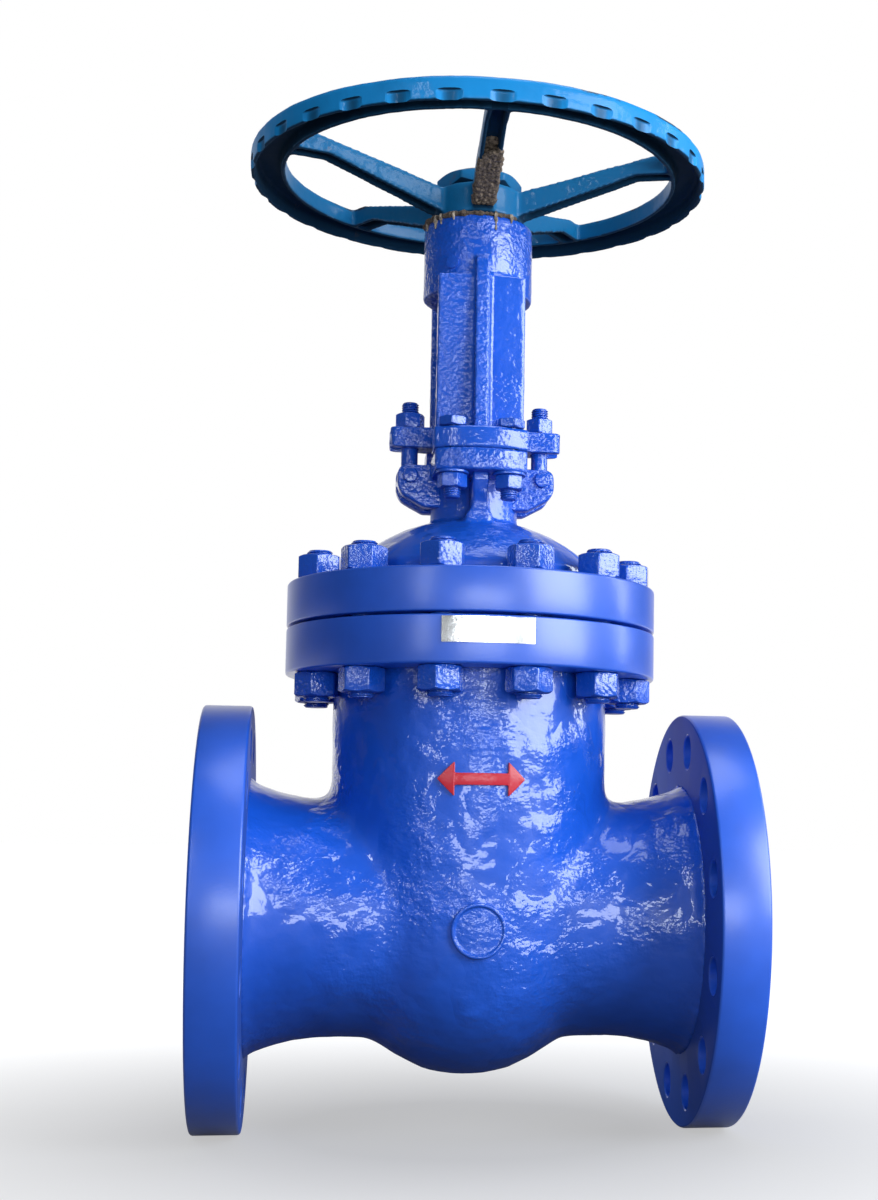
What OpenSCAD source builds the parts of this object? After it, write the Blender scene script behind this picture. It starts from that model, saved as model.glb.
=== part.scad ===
// Wedge gate valve with an outside screw and yoke, for a steel pipeline.
// The origin is the centre of the inlet flange's raised face, +X runs along the pipe to the outlet,
// and +Z runs up the stem. The valve is drawn shut, in millimetres.
// Inside the modules, heights are measured from the pipe axis and X from the stem axis.

/* [Pipe ends] */
// Distance between the raised faces of the two end flanges
face_to_face = 550; // [520:10:650]
// Bore of the valve, the same as the bore of its ports
bore_d = 200; // [180:2:206]
// Outside diameter of the end flanges
flange_d = 430; // [425:5:450]
// Thickness of an end flange with its raised face
flange_t = 52; // [40:1:60]
// Diameter of the raised face
raised_face_d = 285; // [260:5:310]
// Height of the raised face
raised_face_h = 3; // [2:0.5:5]
// Diameter of the bolt circle of the end flanges
flange_bolt_circle = 360; // [350:5:370]
// Diameter of the bolt holes in the end flanges
flange_hole_d = 36; // [26:1:39]
// Number of bolt holes in each end flange
flange_hole_count = 12; // [8:4:12]
// Diameter of the hub where it meets the back of the end flange
hub_d = 270; // [255:1:290]
// Length over which the hub tapers down to the pipe neck
hub_l = 50; // [30:1:60]
// Wall of the pipe neck
neck_wall = 20.5; // [15:0.5:24]

/* [Body] */
// Wall of the barrel that holds the wedge
barrel_wall = 20; // [14:1:26]
// How far the centre of the round belly lies below the pipe axis
belly_drop = 16; // [0:1:24]
// Height of the body flange's underside above the pipe axis
barrel_h = 248; // [235:1:290]
// Thickness of the body flange
body_flange_t = 47; // [35:1:60]
// Thickness of the gasket between body and bonnet
gasket_t = 3; // [2:0.5:5]
// Width of the gasket ring
gasket_w = 22; // [12:1:24]
// Room between the gasket and the stud holes
gasket_room = 4; // [2:0.5:8]
// Metal between the bonnet stud circle and the edge of the two big flanges
flange_edge = 27; // [22:1:40]

/* [Seats and wedge] */
// Slope of each seat face from the vertical, in degrees
wedge_angle = 5; // [3:0.5:6]
// Half the thickness of the wedge at the pipe axis
wedge_half_t = 36; // [30:1:38]
// Wall of a seat ring
seat_ring_wall = 10; // [8:1:12]
// Depth that a seat ring is let into its boss
seat_ring_depth = 12; // [8:1:20]
// Bore of a seat ring
seat_bore_d = 198; // [176:2:204]
// Height of each seat boss above the edge of its ring
seat_boss_rise = 18; // [12:1:24]
// Gap between a wedge face and its seat when the valve is shut
seat_gap = 0.3; // [0.1:0.1:0.5]
// How far the edge of the wedge stays inside the edge of a seat ring
wedge_inset = 2; // [1:0.5:4]
// Width of the ground ring around each face of the wedge
wedge_face_w = 14; // [12:1:16]
// Depth of the hollow inside the ground ring
wedge_face_drop = 3; // [2:0.5:4]
// Half the width of the slot in which the wedge runs
slot_half_w = 50; // [49:1:52]
// Room between a seat ring's edge and the chamber wall
ring_room = 1.3; // [1:0.1:3]
// Width of the guide ribs on the chamber wall
guide_w = 12; // [8:1:16]
// How far the guide ribs reach below the pipe axis
guide_drop = 65; // [40:1:80]
// How far the guide ribs end below the joint with the bonnet
guide_top_room = 6; // [2:1:20]
// How far the guide ribs reach into the wedge's edge
guide_depth = 6; // [4:0.5:8]
// Room around the guide ribs in the wedge's grooves
guide_gap = 2; // [1:0.5:3]
// Metal over the T-slot in the wedge's stem boss
wedge_boss_lip = 13; // [9:1:16]
// Width of the wedge's stem boss across the pipe
wedge_boss_w = 90; // [84:1:96]
// Length of the wedge's stem boss along the pipe
wedge_boss_l = 80; // [70:1:84]

/* [Stem] */
// Outside diameter of the stem and its thread
stem_d = 44; // [40:1:46]
// How far the wedge lifts from shut to open
travel = 210; // [208:1:216]
// Diameter of the stem's neck in the slot of the wedge
stem_neck_d = 36; // [30:1:38]
// Width of the stem's T-shaped head across the pipe
stem_head_w = 62; // [54:1:70]
// Length of the stem's T-shaped head along the pipe
stem_head_l = 50; // [44:1:60]
// Thickness of the stem's T-shaped head
stem_head_t = 20; // [16:1:24]
// Room around the stem's head and neck in the wedge
stem_head_gap = 1.5; // [1:0.5:2]
// Diameter of the stem's back seat
backseat_d = 58; // [52:1:60]
// Thickness of the stem's back seat below its cone
backseat_t = 8; // [5:1:10]
// Room between the wedge's stem boss and the stem's back seat
backseat_room = 2; // [1:0.5:4]
// Gap left at the back seat when the valve is fully open
backseat_gap = 0.5; // [0.3:0.1:1]
// How far the stem stands out of the stem nut when the valve is shut
stem_stub = 4; // [1:1:20]
// Chamfer at the stem's top
stem_chamfer = 2; // [0.5:0.5:3]

/* [Bonnet] */
// Thickness of the bonnet flange
bonnet_flange_t = 44; // [35:1:60]
// Outside radius of the bonnet's dome
dome_r = 184; // [180:1:200]
// Height of the dome above the bonnet flange, on the stem axis
dome_rise = 74.7; // [68:0.1:80]
// Wall of the dome
dome_wall = 24; // [20:1:28]
// Room between the side of the dome and the bonnet nuts
dome_nut_room = 9.5; // [6:0.5:12]
// Wall of the bonnet beside the flange
bonnet_wall = 18; // [16:1:22]
// Diameter of the stuffing box neck
neck_d = 92; // [88:1:100]
// Height from the bonnet flange's top to the joint with the yoke
neck_h = 135; // [132:1:150]
// Thickness of the bonnet's top flange
top_flange_t = 23; // [18:1:26]
// Width of the bonnet's top flange along the pipe
top_flange_w = 95; // [93:1:104]
// Reach of the top flange and of the yoke's feet from the stem axis
top_flange_r = 94; // [93:1:104]
// How far the ribs under the top flange stand back from its edge
neck_rib_set = 16; // [12:1:24]
// How far the foot of those ribs stands out from the neck
neck_rib_foot = 14; // [8:1:20]
// Height of the ribs' straight edges at the top flange and at the dome
neck_rib_edge = 6; // [2:1:12]
// Width of the two ribs under the top flange
neck_rib_w = 17; // [10:1:20]
// Bore of the stuffing box
stuffing_box_d = 64; // [60:1:68]
// Depth of the stuffing box
stuffing_box_depth = 59; // [50:1:62]
// Height of the packing in the stuffing box
packing_h = 48; // [40:1:50]
// Outside diameter of the back seat bushing
bushing_d = 68; // [64:1:72]
// Metal between the bushing and the floor of the stuffing box
bushing_shelf = 17.5; // [12:0.5:24]
// Length of the back seat bushing
bushing_l = 40; // [30:1:48]
// Metal around the back seat bushing inside the dome
bushing_boss_wall = 10; // [8:1:14]
// Running clearance between the stem and its bushing, packing and nut, on the radius
stem_fit = 0.05; // [0.02:0.01:0.1]

/* [Bonnet studs] */
// Number of studs between body and bonnet
stud_count = 12; // [8:4:12]
// Diameter of the studs
stud_d = 27; // [22:1:28]
// Width across the flats of the stud nuts
stud_nut_af = 41; // [38:1:42]
// Height of the stud nuts
stud_nut_h = 25; // [20:1:28]
// Length of stud that shows past each nut
stud_end = 5; // [2:1:8]
// Room between the stud nuts and the barrel
stud_nut_room = 2.5; // [2:0.5:8]
// Clearance around a bolt or a stud in its hole, on the radius
hole_room = 1.5; // [1:0.25:2]

/* [Yoke] */
// Thickness of the yoke's feet
foot_t = 23; // [18:1:30]
// Width of the yoke's feet along the pipe
foot_w = 97; // [93:1:104]
// Distance from the stem axis to the inner edge of a yoke foot
foot_in = 41.5; // [41:0.5:46]
// Width of a yoke leg along the pipe
leg_w = 91; // [80:1:96]
// Distance from the stem axis to the inner face of a leg
leg_in = 43; // [42:0.5:46]
// Thickness of a leg
leg_t = 17; // [14:0.5:18]
// Height of the window between the feet and the collar
window_h = 152; // [140:1:200]
// How far the legs run up the side of the collar
leg_lap = 15; // [8:1:18]
// Width of the rib down the middle of each leg
leg_rib_w = 15; // [10:1:18]
// How far the rib stands out from the leg at the foot
leg_rib_foot = 20; // [10:1:24]
// How far the rib stands out from the leg at its top
leg_rib_top = 5; // [3:1:8]
// How far the ribs run up the side of the collar
leg_rib_lap = 38; // [30:1:60]
// Height over which the ribs slope back to the collar
leg_rib_slope = 10; // [5:1:15]
// Outside diameter of the yoke's collar
collar_d = 115.4; // [112:0.2:124]
// Height of the collar
collar_h = 81; // [81:1:100]
// Distance from the stem axis to the yoke bolts along the pipe
yoke_bolt_x = 29; // [27:0.5:33]
// Distance from the stem axis to the yoke bolts across the pipe
yoke_bolt_y = 77; // [76:0.5:78]
// Diameter of the yoke bolts and of the eye bolts
bolt_d = 18; // [14:1:18]
// Width across the flats of their heads and nuts
bolt_af = 27; // [24:1:28]
// Height of the yoke bolts' heads
bolt_head_h = 9.5; // [7:0.5:12]
// Height of the yoke bolts' nuts
bolt_nut_h = 14.6; // [12:0.2:16]
// Length of bolt that shows past its nut
bolt_end = 8; // [3:1:9]
// Thickness of the washers
washer_t = 3; // [2:0.5:3.5]
// Diameter of the washers
washer_d = 34; // [30:1:35]

/* [Gland] */
// Height of the gland flange's underside above the yoke joint
gland_lift = 13; // [13:1:18]
// Thickness of the gland flange
gland_t = 22; // [16:1:26]
// Diameter of the middle of the gland flange
gland_d = 72; // [66:1:80]
// Reach of the gland flange's ears from the stem axis
gland_reach = 90; // [84:1:96]
// Width of the gland flange's ears
gland_ear_w = 34; // [30:1:40]
// Room between the stem and the gland flange
gland_stem_room = 4; // [2:0.5:6]
// Diameter of the gland follower's collar
follower_collar_d = 78; // [70:1:80]
// Thickness of the gland follower's collar
follower_collar_t = 6; // [4:0.5:8]
// Clearance between the follower and the stuffing box, on the radius
follower_fit = 0.2; // [0.1:0.05:0.4]
// Distance from the stem axis to the eye bolts
eyebolt_x = 69; // [68:0.5:72]
// Height of the eye bolts' pins below the yoke joint
eye_drop = 19; // [16:1:22]
// Diameter of an eye bolt's eye
eye_d = 28; // [26:1:30]
// Thickness of an eye bolt's eye
eye_t = 20; // [14:1:22]
// Diameter of the eye bolts' pins
pin_d = 13; // [10:1:14]
// Height of the eye bolts' nuts
eye_nut_h = 16; // [12:1:18]
// Length of an eye bolt that shows past its nut
eyebolt_end = 12; // [4:1:16]
// Thickness of each cheek of the lugs that hold the eye bolts
lug_cheek = 16; // [10:1:17]
// Room between an eye and the cheeks of its lug
lug_room = 1; // [0.5:0.5:2]
// Depth of the lugs below the eye bolts' eyes
lug_depth = 19; // [12:1:22]
// How far the lugs' foot stands out from the neck
lug_foot = 8; // [4:1:12]
// Height over which the lugs widen from their foot
lug_slope = 15; // [8:1:20]
// Height of the lugs above the pins
lug_rise = 12; // [8:1:14]
// Chamfer at the lugs' top corner
lug_chamfer = 7; // [2:1:8]
// Room around an eye bolt in the slot of its ear, on the radius
eyebolt_room = 1; // [0.5:0.25:2]
// How far the heads of the eye bolts' pins stand out around the pins
pin_rim = 1.5; // [1:0.5:3]
// Thickness of the heads of the eye bolts' pins
pin_head_t = 4; // [2:0.5:6]
// Length of pin that shows past the back cheek
pin_end = 3; // [1:0.5:6]

/* [Stem nut and bearings] */
// Diameter of the stem nut's body
nut_body_d = 66; // [62:1:68]
// Diameter of the stem nut's flange between the bearings
nut_flange_d = 90; // [80:1:91]
// Thickness of the stem nut's flange
nut_flange_t = 12; // [8:1:14]
// Diameter of the thrust bearings and of the bearing cap
bearing_d = 92; // [92:1:98]
// Thickness of each thrust bearing
bearing_t = 10.7; // [8:0.1:12]
// Gap between the stem nut's flange and each bearing
bearing_gap = 0.3; // [0.2:0.1:0.5]
// Height of the lower bearing's seat above the collar's underside
bearing_seat = 21; // [20:1:24]
// Height of the stem nut's underside above the collar's underside
nut_lift = 6; // [2:1:12]
// Clearance around the stem nut in the collar and the cap, on the radius
nut_room = 1.5; // [1:0.25:2]
// How far the bearing cap sits below the collar's rim
cap_drop = 1; // [0:0.5:4]

/* [Handwheel] */
// Gap between the top of the collar and the hub of the handwheel
hub_gap = 5; // [5:0.5:10]
// Diameter of the handwheel's hub
wheel_hub_d = 92; // [86:1:104]
// Height of the handwheel's hub
wheel_hub_h = 34; // [28:1:44]
// Outside diameter of the handwheel
wheel_d = 484; // [400:4:560]
// Height of the rim's underside above the hub's underside
rim_lift = 40; // [30:1:60]
// Height of the rim
rim_h = 25; // [20:1:32]
// Width of the rim
rim_w = 36; // [28:1:44]
// Wall of the rim and of the spokes
wheel_wall = 5; // [4:0.5:7]
// How far the rim's inner wall and the spokes stay above the rim's lower edge
rim_step = 4; // [2:0.5:8]
// Number of spokes
spoke_count = 5; // [3:1:6]
// Width of a spoke
spoke_w = 23.5; // [20:0.5:30]
// Height of a spoke's underside above the hub's underside
spoke_foot_lift = 2; // [1:0.5:6]
// How far a spoke's top stays below the hub's top
spoke_top_drop = 4; // [2:0.5:8]
// Length of the level part of a spoke at the rim
spoke_level_l = 35; // [20:1:50]
// Diameter of the stem nut where the handwheel sits
wheel_seat_d = 62; // [58:1:64]
// Width across the flats of the nut that holds the handwheel
wheel_nut_af = 80; // [74:1:86]
// Height of the nut that holds the handwheel
wheel_nut_h = 16; // [12:1:22]
// Length of stem nut that shows past the wheel nut
wheel_nut_end = 3; // [1:1:6]
// Width of the handwheel's key
key_w = 10; // [8:1:14]
// Depth of the key in the stem nut
key_in = 4; // [3:0.5:5]
// Height of the key in the handwheel's hub
key_out = 3; // [2:0.5:5]

/* [Small fittings] */
// Length of the bare nameplate around the body flange
plate_l = 90; // [60:1:120]
// Height of the nameplate
plate_h = 25; // [16:1:32]
// Thickness of the nameplate
plate_t = 1; // [0.8:0.1:2]
// Gap between the nameplate and the top of the body flange
plate_drop = 2; // [1:0.5:6]
// Distance from the ends of the nameplate to its rivets
rivet_inset = 4.5; // [3:0.5:8]
// Diameter of the nameplate's rivets
rivet_d = 4; // [3:0.5:5]
// How far a rivet's head stands out of the nameplate
rivet_h = 1; // [0.5:0.1:2]
// Diameter of the grease plug's head in the side of the collar
plug_d = 14; // [10:1:16]
// How far the grease plug's head stands out of the collar
plug_h = 2; // [1:0.5:5]
// Height of the grease plug above the collar's underside
plug_lift = 29; // [28:1:32]
// Direction of the grease plug from the front of the valve, in degrees
plug_angle = 32; // [25:1:40]

/* [Hidden] */
$fn = 96;
// An extra depth so that cuts run clear through a face
cut = 1;

paint = "royalblue";
wheel_paint = "steelblue";
bright_steel = "silver";
bronze = "peru";

// Radii and places of the body, from the pipe axis and the stem axis
stem_x = face_to_face / 2;
bore_r = bore_d / 2;
neck_r = bore_r + neck_wall;
neck_end = stem_x - flange_t - hub_l;
ring_r = bore_r + seat_ring_wall;
wedge_r = ring_r - wedge_inset;
chamber_r = sqrt(pow(ring_r + ring_room, 2) + pow(slot_half_w, 2));
barrel_r = chamber_r + barrel_wall;
seat_boss_top = ring_r + seat_boss_rise;
stud_circle_r = barrel_r + stud_nut_room + stud_nut_af / 2;
big_flange_r = stud_circle_r + flange_edge;
body_top = barrel_h + body_flange_t;
gasket_r = stud_circle_r - stud_d / 2 - hole_room - gasket_room;

// Heights of the bonnet, from the joint with the body up to the joint with the yoke
bonnet_z = body_top + gasket_t;
bonnet_flange_top = bonnet_z + bonnet_flange_t;
dome_z = bonnet_flange_top + dome_rise - dome_r;
dome_side_r = stud_circle_r - stud_nut_af / 2 - dome_nut_room;
yoke_joint = bonnet_flange_top + neck_h;
box_floor = yoke_joint - stuffing_box_depth;
stem_r = stem_d / 2;
stem_hole_r = stem_r + stem_fit;
box_r = stuffing_box_d / 2;

// The back seat: the cone on the stem meets the bushing when the wedge is lifted
bushing_z = box_floor - bushing_shelf - bushing_l;
backseat_top = bushing_z - travel - backseat_gap;
backseat_cone_h = backseat_d / 2 - stem_r;
wedge_boss_top = backseat_top - backseat_t - backseat_room;
stem_head_top = wedge_boss_top - wedge_boss_lip - stem_head_gap;

// Heights of the yoke and the gland
foot_top = yoke_joint + foot_t;
collar_z = foot_top + window_h;
collar_top = collar_z + collar_h;
gland_z = yoke_joint + gland_lift;
gland_top = gland_z + gland_t;
pin_z = yoke_joint - eye_drop;
eyebolt_top = gland_top + eye_nut_h + eyebolt_end;
lug_in = eye_t / 2 + lug_room;
lug_out = lug_in + lug_cheek;
flange_under = yoke_joint - top_flange_t;
bolt_hole_d = bolt_d + 2 * hole_room;

// Heights inside the collar, from the lower bearing up to the handwheel
lower_bearing_z = collar_z + bearing_seat;
nut_flange_z = lower_bearing_z + bearing_t + bearing_gap;
upper_bearing_z = nut_flange_z + nut_flange_t + bearing_gap;
cap_z = upper_bearing_z + bearing_t;
cap_top = collar_top - cap_drop;
wheel_z = collar_top + hub_gap;
wheel_hub_top = wheel_z + wheel_hub_h;
wheel_nut_top = wheel_hub_top + wheel_nut_h;
stem_nut_top = wheel_nut_top + wheel_nut_end;
stem_top = stem_nut_top + stem_stub;
nut_bottom = collar_z + nut_lift;

// Handwheel
wheel_r = wheel_d / 2;
rim_in_r = wheel_r - rim_w;
rim_z = wheel_z + rim_lift;
rim_top = rim_z + rim_h;
wheel_seat_r = wheel_seat_d / 2;

// Places everything drawn about the stem axis into the valve's own frame
module at_stem() {
    translate([stem_x, 0, 0]) children();
}

// Turns a profile of [radius, place along the pipe] about the pipe axis
module around_pipe(profile) {
    rotate([0, 90, 0]) rotate_extrude() polygon(profile);
}

// A tube or a disc about the stem axis, from height z0 to z1
module ring(outer_r, inner_r, z0, z1) {
    rotate_extrude() translate([inner_r, z0]) square([outer_r - inner_r, z1 - z0]);
}

// A round bar about the stem axis
module bar(r, z0, z1) {
    translate([0, 0, z0]) cylinder(r = r, h = z1 - z0);
}

// A hexagon prism across flats af with a flat facing +X
module hexagon(af, z0, z1) {
    translate([0, 0, z0]) rotate([0, 0, 30]) cylinder(d = af / cos(30), h = z1 - z0, $fn = 6);
}

// Copies children to the places of the bonnet studs, which straddle the centre lines
module at_studs() {
    for (i = [0 : stud_count - 1])
        rotate([0, 0, (i + 0.5) * 360 / stud_count]) translate([stud_circle_r, 0, 0]) children();
}

// Copies children to the four yoke bolts
module at_yoke_bolts() {
    for (sx = [-1, 1])
        for (sy = [-1, 1])
            translate([sx * yoke_bolt_x, sy * yoke_bolt_y, 0]) children();
}

// Copies children to both sides of the stem, the second one mirrored
module both_sides() {
    children();
    mirror([1, 0, 0]) children();
}

// Copies children to the front and the back, the second one mirrored
module front_and_back() {
    children();
    mirror([0, 1, 0]) children();
}

// A tilted slab between the seat faces, grown by gap on each face
module between_seats(gap, z0, z1) {
    half0 = wedge_half_t + gap + z0 * tan(wedge_angle);
    half1 = wedge_half_t + gap + z1 * tan(wedge_angle);
    rotate([90, 0, 0])
        linear_extrude(height = 4 * ring_r, center = true)
            polygon([[-half0, z0], [half0, z0], [half1, z1], [-half1, z1]]);
}

// The outlet end of the casting: flange and hub, drilled for the pipe's bolts
module end_flange() {
    flange_front = stem_x - raised_face_h;
    flange_back = stem_x - flange_t;
    difference() {
        around_pipe([[bore_r, neck_end], [bore_r, stem_x], [raised_face_d / 2, stem_x],
            [raised_face_d / 2, flange_front], [flange_d / 2, flange_front],
            [flange_d / 2, flange_back], [hub_d / 2, flange_back], [neck_r, neck_end]]);
        for (i = [0 : flange_hole_count - 1])
            rotate([(i + 0.5) * 360 / flange_hole_count, 0, 0])
                translate([flange_back - cut, 0, flange_bolt_circle / 2])
                    rotate([0, 90, 0]) cylinder(d = flange_hole_d, h = flange_t + 2 * cut);
    }
}

// A round-bottomed shape about the stem axis, used for the barrel and for its chamber
module round_bottomed(r, top) {
    rotate_extrude() union() {
        intersection() {
            translate([0, -belly_drop]) circle(r = r);
            translate([0, -belly_drop - r]) square([r, r]);
        }
        translate([0, -belly_drop]) square([r, top + belly_drop]);
    }
}

// The space inside the barrel: a slot between the seat bosses, and the full round above them
module chamber() {
    intersection() {
        round_bottomed(chamber_r, seat_boss_top);
        cube([2 * slot_half_w, 4 * chamber_r, 4 * chamber_r], center = true);
    }
    bar(chamber_r, seat_boss_top, body_top + cut);
}

module guide_ribs() {
    guide_in = wedge_r - guide_depth;
    front_and_back() translate([-guide_w / 2, guide_in, -guide_drop])
        cube([guide_w, chamber_r + cut - guide_in, guide_drop + body_top - guide_top_room]);
}

module seat_recesses() {
    depth_end = slot_half_w + seat_ring_depth;
    rotate([0, 90, 0]) cylinder(r = ring_r, h = 2 * depth_end, center = true);
}

// Cast steel body: the barrel, two pipe necks and the flange for the bonnet
module valve_body() {
    color(paint) at_stem() difference() {
        union() {
            rotate([0, 90, 0]) cylinder(r = neck_r, h = 2 * neck_end, center = true);
            round_bottomed(barrel_r, barrel_h + cut);
            bar(big_flange_r, barrel_h, body_top);
        }
        rotate([0, 90, 0]) cylinder(r = bore_r, h = face_to_face, center = true);
        difference() {
            chamber();
            guide_ribs();
        }
        seat_recesses();
        at_studs() bar(stud_d / 2 + hole_room, barrel_h - cut, body_top + cut);
    }
}

// The end flanges are cast in one with the body
module inlet_flange() {
    color(paint) at_stem() mirror([1, 0, 0]) end_flange();
}

module outlet_flange() {
    color(paint) at_stem() end_flange();
}

// A seat ring: a sleeve in its boss with a sloping face toward the wedge
module seat_ring() {
    depth_end = slot_half_w + seat_ring_depth;
    difference() {
        rotate([0, 90, 0]) cylinder(r = ring_r, h = depth_end);
        rotate([0, 90, 0]) cylinder(d = seat_bore_d, h = 3 * depth_end, center = true);
        between_seats(seat_gap, -2 * ring_r, 2 * ring_r);
    }
}

module seat_ring_inlet() {
    color(bright_steel) at_stem() mirror([1, 0, 0]) seat_ring();
}

module seat_ring_outlet() {
    color(bright_steel) at_stem() seat_ring();
}

// The hollow inside the ground ring of the outlet face, square to that face
module face_hollow() {
    rotate([0, wedge_angle, 0]) translate([wedge_half_t * cos(wedge_angle) - wedge_face_drop, 0, 0])
        rotate([0, 90, 0]) cylinder(r = wedge_r - wedge_face_w, h = wedge_half_t);
}

// Solid wedge with grooves for the guide ribs and a T-slot for the stem's head
module wedge() {
    head_z = stem_head_top - stem_head_t - stem_head_gap;
    groove_w = guide_w + 2 * guide_gap;
    groove_in = wedge_r - guide_depth - guide_gap;
    color(bright_steel) at_stem() difference() {
        union() {
            intersection() {
                rotate([0, 90, 0]) cylinder(r = wedge_r, h = 4 * wedge_half_t, center = true);
                between_seats(0, -ring_r, ring_r);
            }
            translate([-wedge_boss_l / 2, -wedge_boss_w / 2, wedge_r * 0.5])
                cube([wedge_boss_l, wedge_boss_w, wedge_boss_top - wedge_r * 0.5]);
        }
        both_sides() face_hollow();
        front_and_back() translate([-groove_w / 2, groove_in, -2 * wedge_r])
            cube([groove_w, wedge_r, 4 * wedge_r]);
        translate([-wedge_r, -stem_head_w / 2 - stem_head_gap, head_z])
            cube([2 * wedge_r, stem_head_w + 2 * stem_head_gap, stem_head_t + 2 * stem_head_gap]);
        translate([-wedge_r, -stem_neck_d / 2 - stem_head_gap, head_z])
            cube([2 * wedge_r, stem_neck_d + 2 * stem_head_gap, wedge_boss_top - head_z + cut]);
    }
}

// Rising stem with its T-shaped head below and its back seat cone
module stem() {
    head_z = stem_head_top - stem_head_t;
    color(bright_steel) at_stem() {
        translate([-stem_head_l / 2, -stem_head_w / 2, head_z])
            cube([stem_head_l, stem_head_w, stem_head_t]);
        bar(stem_neck_d / 2, head_z, backseat_top);
        rotate_extrude() polygon([[0, backseat_top - backseat_t],
            [backseat_d / 2, backseat_top - backseat_t], [backseat_d / 2, backseat_top],
            [stem_r, backseat_top + backseat_cone_h], [stem_r, stem_top - stem_chamfer],
            [stem_r - stem_chamfer, stem_top], [0, stem_top]]);
    }
}

module bonnet_gasket() {
    color("dimgray") at_stem() ring(gasket_r, gasket_r - gasket_w, body_top, bonnet_z);
}

// Plate across the stem with rounded front and back, as the top flange and the yoke's feet have
module round_fronted(w, z0, z1) {
    intersection() {
        bar(top_flange_r, z0, z1);
        translate([-w / 2, -top_flange_r, z0]) cube([w, 2 * top_flange_r, z1 - z0]);
    }
}

// Dome between the bonnet flange and the neck
module dome(r, side_r, z0) {
    intersection() {
        translate([0, 0, dome_z]) sphere(r = r);
        bar(side_r, z0, dome_z + r);
    }
}

// Gusset rib that stands on the dome under the top flange
module neck_rib() {
    rib_foot = neck_d / 2 + neck_rib_foot;
    rib_in = neck_d / 2 - dome_wall / 4;
    rib_foot_z = dome_z + sqrt(pow(dome_r, 2) - pow(rib_foot, 2)) - dome_wall / 8;
    translate([-neck_rib_w / 2, 0, 0]) rotate([90, 0, 90])
        linear_extrude(height = neck_rib_w)
            polygon([[rib_in, flange_under + cut], [top_flange_r - neck_rib_set, flange_under + cut],
                [top_flange_r - neck_rib_set, flange_under - neck_rib_edge],
                [rib_foot, rib_foot_z + neck_rib_edge],
                [rib_foot, rib_foot_z], [rib_in, rib_foot_z]]);
}

// Two cheeks with a rounded-off outline that hold an eye bolt by its pin
module eyebolt_lug() {
    lug_end = eyebolt_x + pin_d;
    lug_low = pin_z - eye_d / 2 - lug_depth;
    lug_top = pin_z + lug_rise;
    front_and_back() translate([0, lug_out, 0]) rotate([90, 0, 0])
        linear_extrude(height = lug_cheek) difference() {
            polygon([[box_r, lug_low], [neck_d / 2 + lug_foot, lug_low], [lug_end, lug_low + lug_slope],
                [lug_end, lug_top - lug_chamfer], [lug_end - lug_chamfer, lug_top], [box_r, lug_top]]);
            translate([eyebolt_x, pin_z]) circle(d = pin_d);
        }
}

// Cast steel bonnet with the stuffing box, the top flange and the eye bolt lugs
module bonnet() {
    boss_r = bushing_d / 2 + bushing_boss_wall;
    inner_r = dome_side_r - bonnet_wall;
    color(paint) at_stem() difference() {
        union() {
            difference() {
                union() {
                    bar(big_flange_r, bonnet_z, bonnet_flange_top);
                    dome(dome_r, dome_side_r, bonnet_flange_top - cut);
                    bar(neck_d / 2, bonnet_flange_top, yoke_joint);
                }
                dome(dome_r - dome_wall, inner_r, bonnet_z - cut);
            }
            bar(boss_r, bushing_z, box_floor);
            round_fronted(top_flange_w, flange_under, yoke_joint);
            front_and_back() neck_rib();
            both_sides() eyebolt_lug();
        }
        bar(stem_r + hole_room, bushing_z - cut, yoke_joint + cut);
        bar(bushing_d / 2, bushing_z - cut, bushing_z + bushing_l);
        bar(box_r, box_floor, yoke_joint + cut);
        at_yoke_bolts() bar(bolt_hole_d / 2, flange_under - cut, yoke_joint + cut);
        at_studs() bar(stud_d / 2 + hole_room, bonnet_z - cut, bonnet_flange_top + cut);
    }
}

// Bushing that the stem's cone meets when the valve is open
module backseat_bushing() {
    color(bronze) at_stem() rotate_extrude()
        polygon([[backseat_d / 2, bushing_z], [bushing_d / 2, bushing_z],
            [bushing_d / 2, bushing_z + bushing_l], [stem_hole_r, bushing_z + bushing_l],
            [stem_hole_r, bushing_z + backseat_d / 2 - stem_hole_r]]);
}

module bonnet_studs() {
    color(paint) at_stem() at_studs()
        bar(stud_d / 2, barrel_h - stud_nut_h - stud_end, bonnet_flange_top + stud_nut_h + stud_end);
}

// A nut with its bolt's hole
module nut(af, hole_d, z0, z1) {
    difference() {
        hexagon(af, z0, z1);
        bar(hole_d / 2, z0 - cut, z1 + cut);
    }
}

module bonnet_nuts_upper() {
    color(paint) at_stem() at_studs()
        nut(stud_nut_af, stud_d, bonnet_flange_top, bonnet_flange_top + stud_nut_h);
}

module bonnet_nuts_lower() {
    color(paint) at_stem() at_studs() nut(stud_nut_af, stud_d, barrel_h - stud_nut_h, barrel_h);
}

module packing() {
    color("darkslategray") at_stem() ring(box_r, stem_hole_r, box_floor, box_floor + packing_h);
}

// Sleeve that presses the packing, with a collar under the gland flange
module gland_follower() {
    sleeve_r = box_r - follower_fit;
    collar_low = gland_z - follower_collar_t;
    color(bronze) at_stem() {
        ring(sleeve_r, stem_r + hole_room, box_floor + packing_h, gland_z);
        ring(follower_collar_d / 2, stem_r + hole_room, collar_low, gland_z);
    }
}

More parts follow.
